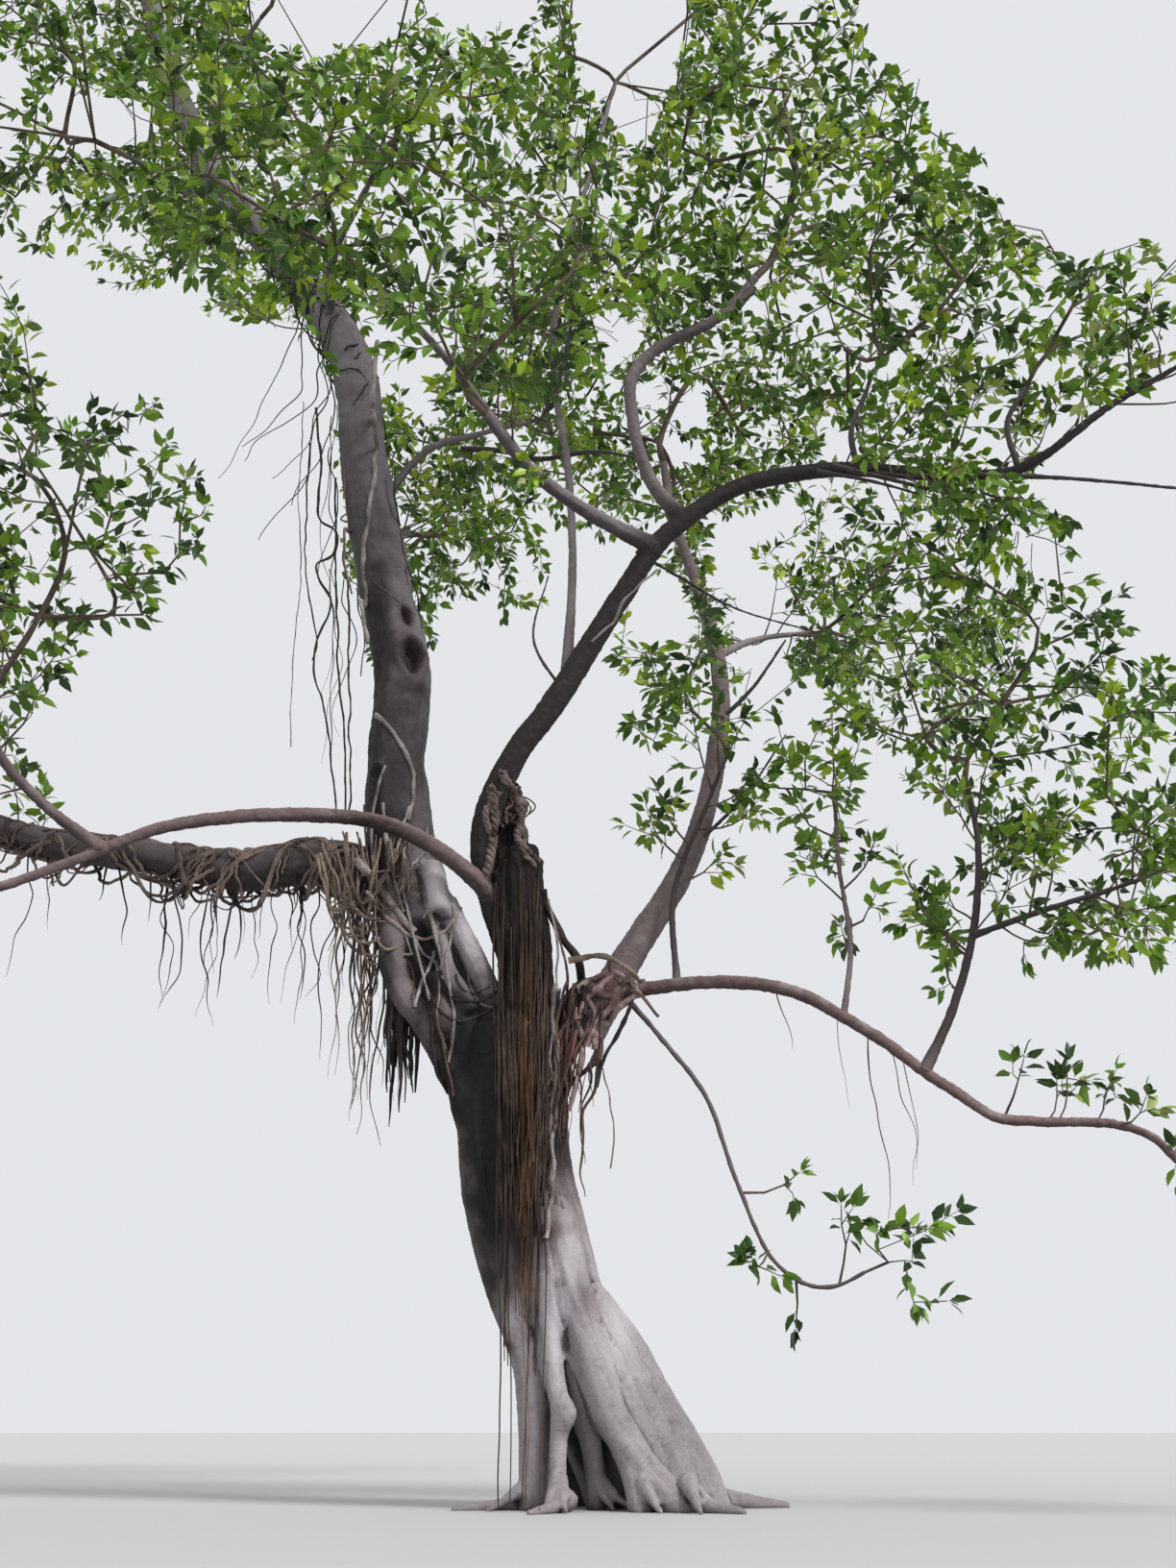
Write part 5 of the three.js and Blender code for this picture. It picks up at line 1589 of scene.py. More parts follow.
# Long strands, a tangle of thin ones where the leader enters the crown, and some that sweep away from it
def leaderHangers():
    draw = np.random.default_rng(96)
    look = leaderRoots
    leader = boughs["leader"]
    for i in range(look["longStrands"]):
        share = draw.uniform(*look["longShares"])
        start = onLimb(leader, share, draw.uniform(-130, -60), 0.0)
        start[0] -= draw.uniform(-0.02, 0.10)
        drop = start[2] - draw.uniform(*look["longFoot"])
        thick = draw.uniform(*look["longThick"])
        drift = (0.06 * drop * draw.uniform(-0.3, 1.2), draw.uniform(-0.05, 0.05))
        yield hangingStrand(start, drop, thick, 450 + i, 0.05, 0.35, drift)
    for i in range(look["tangle"]):
        turn = draw.uniform(0, 360)
        twist = draw.choice([-1, 1]) * draw.uniform(90, 300)
        start = draw.uniform(*look["tangleShares"])
        span = draw.uniform(*look["tangleSpan"])
        thick = draw.uniform(*look["tangleThick"])
        yield windingRope(leader, start, span, (turn, turn + twist), thick, 0.05, 480 + i)
    for i in range(look["sweeps"]):
        start = onLimb(leader, draw.uniform(*look["sweepShares"]), draw.uniform(-120, -40), 0.0)
        aside = draw.uniform(*look["sweepAside"])
        foot = start + [aside, draw.uniform(-0.1, 0.1), -draw.uniform(*look["sweepDrop"])]
        middle = 0.5 * start + 0.5 * foot + [draw.uniform(0.0, 0.14), 0, -0.05]
        route = wavyRoute([start, middle, foot], 0.05, 0.3, 520 + i, 0.03)
        yield route, np.linspace(*look["sweepThick"], len(route))


# The fork: knotted roots on the stub's ragged top, and strands that hang from the fork
stubTop = {
    "curls": 30,
    "place": (-0.47, -0.16, 2.77),
    "reach": (0.062, 0.06, 0.07),
    "thick": (0.005, 0.013),
    "loops": 6,
    "loopPlace": (-0.415, -0.17, 2.76),
    "loopReach": (0.03, 0.02, 0.03),
    "loopSize": (0.025, 0.05),
    "loopThick": 0.0035,
}

forkHangers = {
    "strands": 24,
    "top": (-0.14, -0.15, 1.86),
    "reach": (0.08, 0.04, 0.12),
    "drop": (0.25, 0.75),
    "thick": (0.0025, 0.008),
    "archStrands": 5,
    "archShares": (0.06, 0.6),
    "archDrop": (0.2, 0.75),
    "archThick": (0.0016, 0.003),
}


def stubTopCurls():
    draw = np.random.default_rng(97)
    look = stubTop
    for i in range(look["curls"]):
        start = nearby(look["place"], look["reach"], draw) - [0, 0, 0.1]
        points = [start] + [nearby(look["place"], look["reach"], draw) for _ in range(4)]
        route = evenRoute(smoothRoute(points, 8), 0.012)
        thick = draw.uniform(*look["thick"])
        yield route, thinned(np.linspace(thick, 0.5 * thick, len(route)), i, 0.3)
    for i in range(look["loops"]):
        centre = nearby(look["loopPlace"], look["loopReach"], draw)
        turns = np.linspace(0, draw.uniform(2.5, 5.0), 9) + draw.uniform(0, 6)
        wide, high = draw.uniform(*look["loopSize"], 2)
        ring = [wide * np.cos(turns), 0.02 * np.sin(2 * turns), high * np.sin(turns)]
        points = centre + np.column_stack(ring)
        route = evenRoute(smoothRoute(points, 4), 0.01)
        yield route, np.full(len(route), look["loopThick"])


def forkStrands(fronts):
    draw = np.random.default_rng(98)
    look = forkHangers
    arch = boughs["arch_right"]
    for i in range(look["strands"]):
        start = nearby(look["top"], look["reach"], draw)
        thick = draw.uniform(*look["thick"])
        drop = draw.uniform(*look["drop"])
        drift = (-0.10 * drop - 0.03 * draw.random(), draw.uniform(-0.03, 0.0))
        route, radii = hangingStrand(start, drop, thick, 500 + i, 0.03, 0.16, drift)
        yield inFrontOf(route, fronts, 0.5 * thick), radii
    for i in range(look["archStrands"]):
        start = onLimb(arch, draw.uniform(*look["archShares"]), draw.uniform(20, 150), 0.0)
        drop = draw.uniform(*look["archDrop"])
        thick = draw.uniform(*look["archThick"])
        yield hangingStrand(start, drop, thick, 540 + i, 0.05, 0.3, (0.03, 0))


def isOchre(strand):
    route, _ = strand
    low, high = curtain["brightBand"]
    return low < route[len(route) // 2, 0] < high and route[0, 2] < curtain["brightTop"]


def makeRoots(trunk, stub, leader, centre, materials):
    fronts = [trunk, stub]
    draped = ("roots_low_left_near", "roots_low_left_far")
    seen = rootsSeen([trunk, stub, leader, centre])
    hanging = list(curtainStrands(fronts))
    ochre = [strand for strand in hanging if isOchre(strand)]
    brown = [strand for strand in hanging if not isOchre(strand)]
    note(f"curtain: {len(ochre)} of {len(hanging)} strands are ochre")
    curls = list(stubTopCurls())
    groups = [
        ("curtain_roots", brown, 0, "fibre", ("roots_curtain",)),
        ("curtain_bright", ochre, 0, "ochre", ("roots_curtain",)),
        ("low_left_ropes", lowLeftRopes(), 1, "rope", draped),
        ("low_left_strands", lowLeftStrands(), 0, "dark", draped),
        ("low_left_hangers", junctionStrands(), 0, "tan", draped),
        ("leader_vines", [*footRopes(), *seen["pale"]], 1, "pale", ("roots_leader",)),
        ("leader_strands", [*leaderHangers(), *seen["dark"]], 0, "dark", ("roots_leader",)),
        ("stub_top_roots", curls[::2] + seen["knot"], 1, "knot", ("roots_curtain",)),
        ("stub_top_curls", curls[1::2], 1, "dark", ("roots_curtain",)),
        ("fork_strands", [*forkStrands(fronts), *seen["red"]], 0, "red", ("roots_knot",)),
        ("fork_lattice", seen["pink"], 2, "pink", ("roots_knot",)),
        ("fork_braces", seen["black"], 1, "black", ("roots_knot",)),
        ("tan_roots", seen["rope"], 1, "tan", ("roots_leader",)),
    ]
    for name, strands, roundness, material, nodes in groups:
        piece = tubePiece(name, strands, roundness)
        finishPiece(piece, "aerial_root", materials[material], *nodes)


# Foliage masses: the bough each grows on from, its spray points as in the solids, centre and reach
massTable = {
    "crown_top": ("leader", 10, (-2.93, 0.66, 9.15), (1.32, 1.23, 0.85)),
    "top_right": ("top_right", 8, (-1.7, -0.05, 8.06), (0.85, 0.95, 0.72)),
    "top_back": ("top_back", 9, (-2.75, 1.9, 7.7), (0.92, 0.95, 0.78)),
    "high_left": ("high_left", 9, (-3.15, -0.1, 6.82), (0.85, 0.95, 0.9)),
    "high_fore": ("high_fore", 9, (-0.98, -0.85, 6.3), (0.92, 0.95, 0.74)),
    "fore_left": ("fore_left", 9, (-1.4, -1.5, 5.05), (0.76, 0.87, 0.72)),
    "fore": ("fore", 9, (-0.48, -1.8, 4.42), (0.76, 0.85, 0.67)),
    "centre": ("sprout_side", 9, (-0.06, -0.5, 5.68), (0.85, 0.81, 0.85)),
    "centre_top": ("sprout", 10, (0.02, 0.5, 7.95), (1.08, 1.12, 0.92)),
    "s_top": ("s_curve", 11, (1.08, -0.15, 6.3), (1.19, 1.12, 1.01)),
    "over_main": ("over_main", 9, (1.3, -0.8, 4.98), (0.85, 0.85, 0.63)),
    "main_rise": ("main_rise", 8, (2.15, -1.15, 5.08), (0.69, 0.85, 0.69)),
    "main_right": ("centre", 9, (2.95, -1.2, 4.55), (0.76, 0.92, 0.69)),
    "stem_top": ("right_stem", 10, (0.52, 1.65, 6), (1.1, 1.01, 0.9)),
    "back_right": ("back_right", 10, (1.82, 2.12, 4.95), (1.08, 1.01, 0.87)),
    "arch_sprout": ("arch_sprout", 7, (0.47, 0.08, 3.48), (0.58, 0.63, 0.54)),
    "upright": ("right_upright", 9, (1.6, -0.32, 3.33), (0.83, 0.85, 0.69)),
    "upright_right": ("upright_side", 7, (2.48, -0.5, 2.65), (0.67, 0.72, 0.58)),
    "thin_top": ("thin_upright", 5, (0.9, 0.06, 3.15), (0.47, 0.56, 0.48)),
    "arch_tip": ("arch_right", 7, (2.56, -0.62, 1.22), (0.67, 0.72, 0.52)),
    "droop_tip": ("droop", 4, (0.93, -0.52, 0.88), (0.37, 0.38, 0.29)),
    "left_mid": ("arch_left_up", 10, (-2.33, -0.9, 3.76), (0.9, 0.92, 0.85)),
    "left_out": ("arch_left", 8, (-3.08, -1.05, 2.18), (0.72, 0.83, 0.6)),
    "low_left": ("low_left", 10, (-3.95, 0.43, 3.42), (0.99, 1.01, 0.85)),
    "back_left": ("back_left", 10, (-1.25, 2.15, 5.55), (1.06, 1.01, 0.87)),
    "back_top": ("leader_right", 9, (-0.42, 1.6, 6.5), (0.78, 0.95, 0.9)),
}

# The source's rule for twigs, and what carries it on to finer ones
growth = {
    "twigTip": 0.009,
    "joinTries": 6,
    "clearance": 0.015,
    "leafClearance": 0.035,
    "cellMargin": 0.012,
    "cadMargin": 0.05,
    "shell": (0.3, 0.68),
    "fineShell": (0.28, 1.12),
    "finePerCubicMetre": 165,
    "fineTip": 0.0020,
    "thickening": 0.43,
    "stepAlong": 0.09,
    "outline": 0.90,
    "outlineWander": 0.30,
    "holes": -0.30,
    "interleave": 0.10,
}

# Where the photograph shows sky between the twigs, as outlines in its pixels
skyOpenings = [
    [(872, -300), (900, 40), (958, 76), (1020, 165), (1048, 235), (1120, 262), (1165, 246), (1500, 222),
        (1500, -300)],
    [(1095, 452), (1160, 425), (1500, 330), (1500, 640), (1190, 615), (1120, 545), (1075, 512)],
    [(150, 300), (215, 328), (300, 338), (348, 415), (352, 560), (372, 650), (392, 800), (240, 800),
        (190, 735), (232, 652), (212, 590), (228, 500), (190, 440), (150, 400), (60, 392), (48, 345),
        (100, 300)],
    [(604, -300), (600, 62), (628, 112), (652, 150), (676, 152), (700, 92), (712, 40), (712, -300)],
    [(45, 100), (75, 92), (158, 112), (150, 148), (100, 160), (55, 150)],
    [(764, 608), (818, 600), (822, 720), (770, 728)],
    [(652, 600), (712, 598), (716, 662), (668, 668)],
    [(455, 640), (520, 625), (515, 705), (460, 715)],
    [(1040, 560), (1075, 548), (1120, 590), (1090, 610)],
    [(255, -300), (262, 28), (300, 52), (420, 40), (440, -300)],
    [(430, -300), (450, 20), (520, 34), (560, 15), (560, -300)],
    [(612, 330), (640, 322), (668, 352), (640, 372)],
    [(232, 352), (330, 360), (330, 398), (250, 400)],
]


# The same seeded draws as the source's
def seeded(seed):
    state = seed

    def draw():
        nonlocal state
        state = (state + 0x6D2B79F5) & 0xFFFFFFFF
        mixed = (state ^ state >> 15) * (1 | state) & 0xFFFFFFFF
        mixed = (mixed + ((mixed ^ mixed >> 7) * (61 | mixed)) & 0xFFFFFFFF) ^ mixed
        return ((mixed ^ mixed >> 14) & 0xFFFFFFFF) / 2**32

    return draw


def roomOf(name):
    _, _, centre, reach = massTable[name]
    centre = np.array(centre, float)
    size = np.mean(reach)
    others = [row for key, row in massTable.items() if key != name]
    away = np.array([row[2] for row in others]) - centre
    distance = np.linalg.norm(away, axis=1)
    otherSize = np.array([np.mean(row[3]) for row in others])
    border = (distance**2 + size**2 - otherSize**2) / (2 * distance)
    away = away / distance[:, None]
    return {"centre": centre, "reach": np.array(reach, float), "away": away, "border": border}


def inCell(points, room, margin):
    offset = np.atleast_2d(points) - room["centre"]
    return (offset @ room["away"].T < room["border"] - margin - growth["cellMargin"]).all(axis=1)


def insideCad(points, margin):
    return ((points > np.array(cadLow) + margin) & (points < np.array(cadHigh) - margin)).all(axis=1)


def depthIn(points, room):
    return np.linalg.norm((points - room["centre"]) / room["reach"], axis=-1)


def sprayPoints(count, seed, shell, room):
    draw = seeded(seed)
    height = 1 - 2 * (np.arange(count) + 0.5) / count
    ring = np.sqrt(1 - height**2)
    turn = np.arange(count) * math.pi * (3 - math.sqrt(5)) + seed
    depth = np.array([shell[0] + (shell[1] - shell[0]) * draw() for _ in range(count)])
    directions = np.column_stack([ring * np.cos(turn), ring * np.sin(turn), height])
    return directions * depth[:, None] * room["reach"] + room["centre"]


# Points through the outer part of a mass, as many in each litre of it
def sprayCloud(count, seed, room):
    draw = np.random.default_rng(1000 + seed)
    inner, outer = growth["fineShell"]
    depth = np.cbrt(inner**3 + (outer**3 - inner**3) * draw.random(count))
    return unit(draw.normal(0, 1, (count, 3))) * depth[:, None] * room["reach"] + room["centre"]


# Where points show in the photograph, in its pixels
def photoPlaces(points):
    offset = points - np.array(cameraView["place"])
    tilt = math.radians(cameraView["tiltUp"])
    ahead = offset[:, 1] * math.cos(tilt) + offset[:, 2] * math.sin(tilt)
    above = offset[:, 2] * math.cos(tilt) - offset[:, 1] * math.sin(tilt)
    focus = photoSize[1] * cameraView["lens"] / 36
    across = photoSize[0] / 2 + focus * offset[:, 0] / ahead
    return np.column_stack([across, photoSize[1] / 2 - focus * above / ahead])


def inOpenSky(points):
    seen = photoPlaces(points)
    seen = seen + 11 * np.column_stack([layeredNoise(points * 5, 2, seed) for seed in (3, 4)])
    inSky = np.zeros(len(seen), bool)
    for outline in skyOpenings:
        inside = np.zeros(len(seen), bool)
        for (x1, y1), (x2, y2) in zip(outline, outline[1:] + outline[:1]):
            crosses = (y1 > seen[:, 1]) != (y2 > seen[:, 1])
            edge = x1 + (seen[:, 1] - y1) * (x2 - x1) / ((y2 - y1) or 1)
            inside ^= crosses & (seen[:, 0] < edge)
        inSky |= inside
    return inSky


wood = columns + list(boughs.values())
woodPlaces = np.vstack([limb["route"][::2] for limb in wood])
woodRadii = np.concatenate([limb["radii"][::2] for limb in wood])


def clearOfWood(start, end, radius):
    line = start + (end - start) * np.linspace(0, 1, 9)[:, None]
    gaps = np.linalg.norm(line[:, None] - woodPlaces[None], axis=2)
    return (gaps > woodRadii + radius + growth["clearance"]).all()


# Joins each target, nearest first, to the node that a short, straight twig can reach it from
def joinTargets(nodes, targets, firstJoint):
    order = np.argsort(np.linalg.norm(targets - nodes["place"][0], axis=1))
    for target in targets[order]:
        way = target - nodes["place"]
        length = np.linalg.norm(way, axis=1)
        cost = length * (1.5 - 0.5 * (nodes["heading"] * way).sum(axis=1) / np.maximum(length, 1e-6))
        cost[:firstJoint] = np.inf
        cost[length < 4 * growth["twigTip"]] = np.inf
        for best in np.argsort(cost)[:growth["joinTries"]]:
            if np.isfinite(cost[best]) and clearOfWood(nodes["place"][best], target, 2 * growth["twigTip"]):
                addPoint(nodes, target, way[best] / length[best], best)
                break


def addPoint(nodes, place, heading, parent):
    nodes["place"] = np.vstack([nodes["place"], place])
    nodes["heading"] = np.vstack([nodes["heading"], heading])
    nodes["parent"].append(int(parent))
    return len(nodes["parent"]) - 1


def newNodes(place, heading):
    return {"place": np.array([place]), "heading": np.array([heading]), "parent": [-1]}


# Splits nodes into chains, parents before children: the child that carries most goes on
def chainsOf(nodes):
    parents = nodes["parent"]
    load = np.zeros(len(parents), dtype=int)
    for i in range(len(parents) - 1, 0, -1):
        load[i] += 1
        load[parents[i]] += load[i]
    children = [[] for _ in parents]
    for i, parent in enumerate(parents):
        if parent >= 0:
            children[parent].append(i)
    chains = []
    starts = [(0, None)]
    while starts:
        start, following = starts.pop(0)
        chain = [start]
        here = following if following is not None else max(children[start], key=lambda i: load[i])
        if following is None:
            starts += [(start, child) for child in children[start] if child != here]
        while here is not None:
            chain.append(here)
            ranked = sorted(children[here], key=lambda i: -load[i])
            starts += [(here, child) for child in ranked[1:]]
            here = ranked[0] if ranked else None
        chains.append(chain)
    return chains, load


# Nodes at even steps along the coarse twigs, which the fine ones join
def finerNodes(coarse, start, heading):
    nodes = newNodes(start, heading)
    newIndex = {0: 0}
    for chain in chainsOf(coarse)[0]:
        route = evenRoute(smoothRoute(coarse["place"][chain]), growth["stepAlong"])
        along = lengthsAlong(route)
        last = newIndex[chain[0]]
        spots = []
        for i in range(1, len(route)):
            last = addPoint(nodes, route[i], (route[i] - route[i - 1]) / (along[i] - along[i - 1]), last)
            spots.append(last)
        for old in chain[1:]:
            gaps = np.linalg.norm(nodes["place"][spots] - coarse["place"][old], axis=1)
            newIndex[old] = spots[int(gaps.argmin())]
    return nodes


# Where the fine twigs of a mass end
def fineTargets(room, seed):
    volume = 4 / 3 * math.pi * np.prod(room["reach"])
    fine = sprayCloud(int(volume * growth["finePerCubicMetre"]), seed, room)
    ways = unit(fine - room["centre"])
    outline = growth["outline"] + growth["outlineWander"] * layeredNoise(ways * 1.9, 2, seed)
    kept = inCell(fine, room, -growth["interleave"]) & (depthIn(fine, room) < outline)
    kept &= insideCad(fine, growth["cadMargin"]) & ~inOpenSky(fine)
    kept &= layeredNoise(fine * 2.4, 2, seed + 7) > growth["holes"]
    return fine[kept]


def growMass(name, seed):
    boughName, sprays, _, reach = massTable[name]
    room = roomOf(name)
    heading = boughs[boughName]["headings"][-1]
    start = boughs[boughName]["route"][-1]
    coarse = newNodes(start, heading)
    addPoint(coarse, start + heading * 0.22 * min(reach), heading, 0)
    targets = sprayPoints(sprays, seed, growth["shell"], room)
    joinTargets(coarse, targets[inCell(targets, room, growth["twigTip"]) & ~inOpenSky(targets)], 1)
    nodes = finerNodes(coarse, start, heading)
    coarseCount = len(nodes["parent"])
    joinTargets(nodes, fineTargets(room, seed), 2)
    return nodes, coarseCount, room


# Leafy twigs straight on the boughs: how many, on which stretch, and how long
sideSprays = [
    ("centre", 26, (0.66, 0.99), (0.3, 0.6)),
    ("s_curve", 8, (0.45, 1), (0.25, 0.5)),
    ("right_upright", 11, (0.3, 1), (0.25, 0.5)),
    ("upright_side", 12, (0.15, 1), (0.25, 0.5)),
    ("thin_upright", 8, (0.3, 1), (0.2, 0.4)),
    ("arch_sprout", 7, (0.45, 1), (0.2, 0.45)),
    ("arch_right", 6, (0.72, 1), (0.2, 0.4)),
    ("droop", 4, (0.6, 1), (0.15, 0.3)),
    ("right_stem", 12, (0.52, 1), (0.3, 0.6)),
    ("back_right", 8, (0.35, 1), (0.3, 0.6)),
    ("sprout", 14, (0.22, 0.95), (0.25, 0.55)),
    ("arch_left_up", 8, (0.35, 1), (0.25, 0.5)),
    ("back_left", 10, (0.45, 1), (0.3, 0.6)),
    ("leader_right", 10, (0.35, 1), (0.3, 0.6)),
    ("leader", 30, (0.56, 0.99), (0.35, 0.75)),
    ("low_left", 9, (0.72, 1), (0.25, 0.5)),
    ("fore", 4, (0.6, 1), (0.25, 0.45)),
    ("fore_left", 5, (0.2, 1), (0.25, 0.45)),
    ("top_right", 5, (0.3, 1), (0.3, 0.5)),
    ("high_left", 5, (0.3, 1), (0.3, 0.5)),
    ("top_back", 5, (0.3, 1), (0.3, 0.5)),
]

sideTwig = {
    "sink": 0.6,
    "lift": (0.25, 0.3),
    "thick": (0.0055, 0.002),
    "sideLength": (0.22, 0.42),
    "sideTurn": 1.1,
    "sideThick": (0.0026, 0.0022, 0.0015),
}


def sideTwigs(boughName, count, shares, lengths, draw):
    look = sideTwig
    limb = boughs[boughName]
    twigs = []
    for i in range(count):
        at = limbIndex(limb, shares[0] + (shares[1] - shares[0]) * (i + draw.random()) / count)
        turn = draw.uniform(0, 2 * math.pi)
        outward = math.cos(turn) * limb["across"][at] + math.sin(turn) * limb["beside"][at]
        way = unit(0.5 * limb["headings"][at] + outward + [0, 0, look["lift"][0]])
        length = draw.uniform(*lengths)
        start = limb["route"][at] + look["sink"] * limb["radii"][at] * outward
        points = [start, start + 0.5 * length * way, start + length * unit(way + [0, 0, look["lift"][1]])]
        main = wavyRoute(points, 0.02, 0.15, int(draw.integers(999)), 0.06)
        twigs.append((main, np.linspace(*look["thick"], len(main)), len(main) // 2))
        for step in range(2, len(main) - 1):
            side = unit(draw.normal(0, 1, 3))
            reach = length * draw.uniform(*look["sideLength"])
            tip = main[step] + reach * unit(way + look["sideTurn"] * side)
            middle = (main[step] + tip) / 2 + draw.normal(0, 0.008, 3)
            twigs.append((np.array([main[step], middle, tip]), np.array(look["sideThick"]), 0))
    return twigs


# Leaves: a pointed blade of ten faces, folded a little along its rib, on a short stalk
leafShape = {
    "length": (0.068, 0.108),
    "width": 0.40,
    "spacing": 0.026,
    "bareShare": 0.25,
    "tipLeaves": 4,
    "youngSmaller": 0.35,
    "turnStep": 2.4,
    "turnSpread": 0.3,
    "slant": (68, 24),
    "slantSpread": 0.2,
    "droop": 0.42,
    "tiltSpread": 0.35,
    "roll": 42,
}

leafCorners = np.array([
    (0, 0, 0), (0.17, -0.04, 0.012), (0.17, 0.04, 0.012), (0.43, 0, -0.012), (0.43, -0.5, 0.05),
    (0.43, 0.5, 0.05), (0.72, 0, -0.03), (0.72, -0.36, 0.02), (0.72, 0.36, 0.02), (1, 0, -0.10),
])
leafFaces = np.array([
    (0, 2, 1), (1, 2, 3), (1, 3, 4), (2, 5, 3), (4, 3, 6), (4, 6, 7), (3, 5, 8), (3, 8, 6), (7, 6, 9),
    (6, 8, 9),
])


def leavesOn(route, draw):
    look = leafShape
    along = lengthsAlong(route)
    total = along[-1]
    bare = min(look["bareShare"] * total, total - 0.02)
    marks = np.arange(bare, total, look["spacing"])
    marks = np.concatenate([marks, np.full(look["tipLeaves"], total)])
    heading = unit(route[-1] - route[-2])
    side = unit(np.cross(heading, [0.3, 0.2, 1.0]))
    other = np.cross(heading, side)
    turn = np.arange(len(marks)) * look["turnStep"] + draw.uniform(0, 6.28)
    turn = turn + draw.normal(0, look["turnSpread"], len(marks))
    outward = np.cos(turn)[:, None] * side + np.sin(turn)[:, None] * other
    share = np.clip((marks - bare) / max(total - bare, 0.01), 0, 1)
    slant = np.radians(look["slant"][0] + (look["slant"][1] - look["slant"][0]) * share**2)
    slant = slant + draw.normal(0, look["slantSpread"], len(marks))
    ways = heading * np.cos(slant)[:, None] + outward * np.sin(slant)[:, None]
    ways[:, 2] -= look["droop"] * draw.random(len(marks))
    sizes = draw.uniform(*look["length"], len(marks))
    young = share > 0.98  # those at the tip
    sizes = sizes * (1 - look["youngSmaller"] * young * draw.random(len(marks)))
    return placesAlong(marks, along, route), unit(ways), sizes


def leafFrames(ways, draw):
    up = np.array([0, 0, 1.0]) + draw.normal(0, leafShape["tiltSpread"], (len(ways), 3))
    across = unit(np.cross(up, ways))
    face = np.cross(ways, across)
    roll = np.radians(draw.normal(0, leafShape["roll"], len(ways)))[:, None]
    return across * np.cos(roll) + face * np.sin(roll), face * np.cos(roll) - across * np.sin(roll)


def leafMesh(name, roots, ways, sizes, draw):
    across, face = leafFrames(ways, draw)
    lengths = sizes[:, None]
    corners = (
        roots[:, None]
        + leafCorners[None, :, 0:1] * (lengths * ways)[:, None]
        + leafCorners[None, :, 1:2] * (lengths * leafShape["width"] * across)[:, None]
        + leafCorners[None, :, 2:3] * (lengths * face)[:, None]
    )
    triangles = leafFaces[None] + (np.arange(len(roots)) * len(leafCorners))[:, None, None]
    return pieceFromArrays(name, corners.reshape(-1, 3), triangles.reshape(-1, 3))


# painted light: how far a spray's height and outward place make its tint lighter
paintedLeafLight = {"spread": 0.4, "middle": 0.55}


# The tint of a spray: by chance, with painted light making it lighter higher in the crown and towards the
# outside of its mass, and painted shade darker below and inside
def tintOf(place, depth, draw):
    if draw.random() < leafTints["leaf_pale"]["share"]:
        return "leaf_pale"
    height = (place[2] - cadLow[2]) / (cadHigh[2] - cadLow[2])
    outside = 0.5 * height + 0.5 * min(depth, 1)
    light = draw.random() + paintedLeafLight["spread"] * (outside - paintedLeafLight["middle"])
    darkToLit = [name for name in leafTints if name != "leaf_pale"]
    steps = np.cumsum([leafTints[name]["share"] for name in darkToLit])
    return darkToLit[min(int(np.searchsorted(steps / steps[-1], light)), len(steps) - 1)]


def clearLeaves(roots, ways, sizes):
    keep = np.ones(len(roots), bool)
    for part, gaps in gapsTo(woodPlaces, woodRadii, roots + ways * sizes[:, None] * 0.55, 4000):
        keep[part] = (gaps > growth["leafClearance"]).all(axis=1)
    return keep


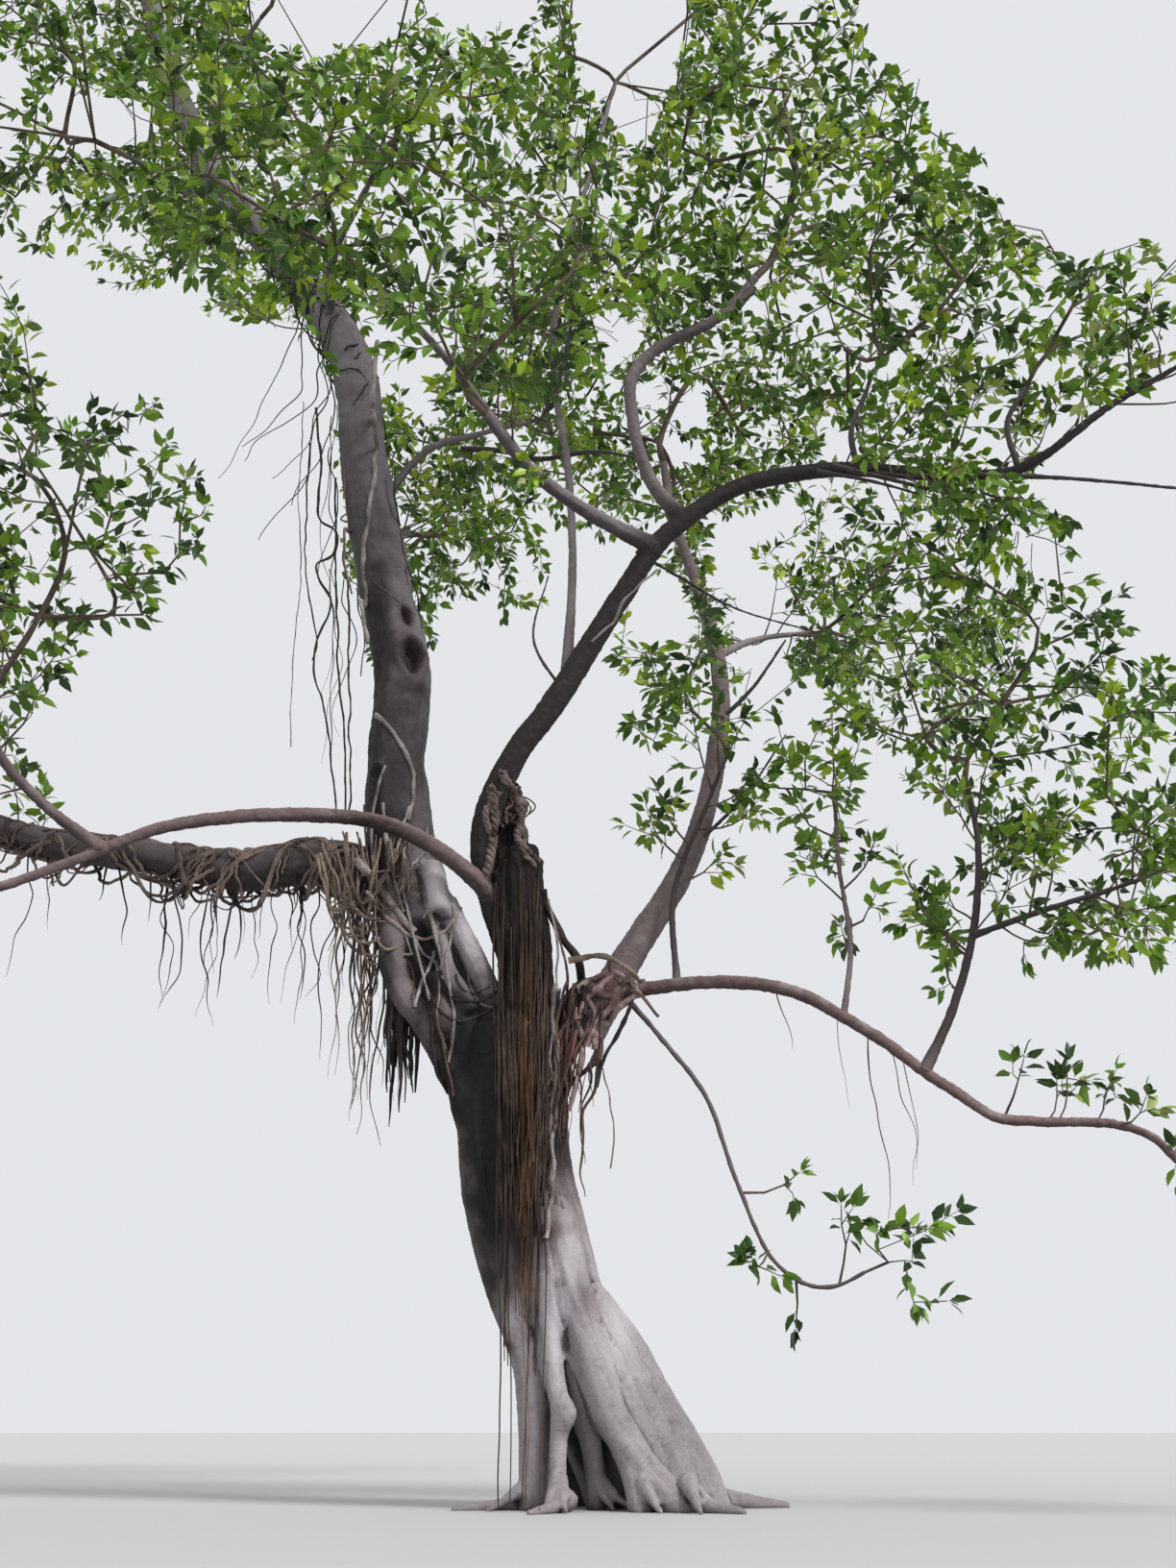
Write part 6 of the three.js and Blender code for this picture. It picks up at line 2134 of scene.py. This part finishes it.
# The twigs of one mass, with leaves on the fine ones
def dressMass(name, seed, twigs, leaves, draw):
    nodes, coarseCount, room = growMass(name, seed)
    chains, load = chainsOf(nodes)
    stemRadius = 0.95 * boughs[massTable[name][0]]["radii"][-1]
    radii = np.minimum(stemRadius, growth["fineTip"] * np.maximum(load, 1) ** growth["thickening"])
    for chain in chains:
        places = nodes["place"][chain]
        thick = radii[[chain[1], *chain[1:]]]
        if len(chain) == 2:
            bow = draw.normal(0, 0.10, 3) * np.linalg.norm(places[1] - places[0])
            places = np.array([places[0], places.mean(axis=0) + bow - [0, 0, 0.02], places[1]])
            thick = np.array([thick[0], thick[0], 0.6 * thick[1]])
        twigs["twigs_coarse" if chain[1] < coarseCount else "twigs_fine"].append((places, thick))
        for tip in chain[1:]:
            if tip < coarseCount:
                continue
            tipPlace = nodes["place"][tip]
            route = places if len(chain) == 2 else np.array([nodes["place"][nodes["parent"][tip]], tipPlace])
            roots, ways, sizes = leavesOn(route, draw)
            inside = depthIn(roots + ways * sizes[:, None], room) <= growth["fineShell"][1] + 0.08
            tint = tintOf(tipPlace, depthIn(tipPlace, room), draw)
            leaves[tint].append((roots[inside], ways[inside], sizes[inside]))


# Short leafy twigs along one bough
def dressBough(row, twigs, leaves, draw):
    for route, thick, bare in sideTwigs(*row, draw):
        if insideCad(route, growth["cadMargin"]).all() and not inOpenSky(route[-1:]).any():
            twigs["twigs_fine"].append((route, thick))
            spray = leavesOn(route[bare:], draw)
            leaves[tintOf(route[-1], 0.8, draw)].append(spray)


def makeFoliage(twigMaterial):
    draw = np.random.default_rng(77)
    twigs = {"twigs_coarse": [], "twigs_fine": []}
    leaves = {tint: [] for tint in leafTints}
    for seed, name in enumerate(massTable, start=1):
        dressMass(name, seed, twigs, leaves, draw)
    for row in sideSprays:
        dressBough(row, twigs, leaves, draw)
    masses = nodesOf("foliage", massTable)
    for label, roundness in (("twigs_coarse", 1), ("twigs_fine", 0)):
        finishPiece(tubePiece(label, twigs[label], roundness), "bark_dark", twigMaterial, *masses)
    for tint, sprays in leaves.items():
        roots, ways, sizes = (np.concatenate(column) for column in zip(*sprays))
        tips = roots + ways * sizes[:, None]
        keep = insideCad(tips, 0.03) & clearLeaves(roots, ways, sizes) & ~inOpenSky(tips)
        piece = leafMesh(tint.replace("leaf", "leaves"), roots[keep], ways[keep], sizes[keep], draw)
        note(f"{piece.name}: {keep.sum()} leaves")
        finishPiece(piece, "leaf", leafMaterial(tint), *masses)


addCamera()
addStudio()
figBarkMaterial = figBark()
fibreMaterial = rottenFibres()
twigMaterial = strandMaterial("twig_bark", *twigLook)
rootMaterials = {name: strandMaterial(f"root_{name}", *look) for name, look in rootLooks.items()}
trunk = makeTrunk(figBarkMaterial)
stub = makeStub(trunk, fibreMaterial)
boughPieces = {row[0]: makeBoughGroup(figBarkMaterial, *row) for row in boughGroups}
makeSlenderBoughs(figBarkMaterial)
makeRoots(trunk, stub, boughPieces["leader_bark"], boughPieces["centre_bark"], rootMaterials)
makeFoliage(twigMaterial)
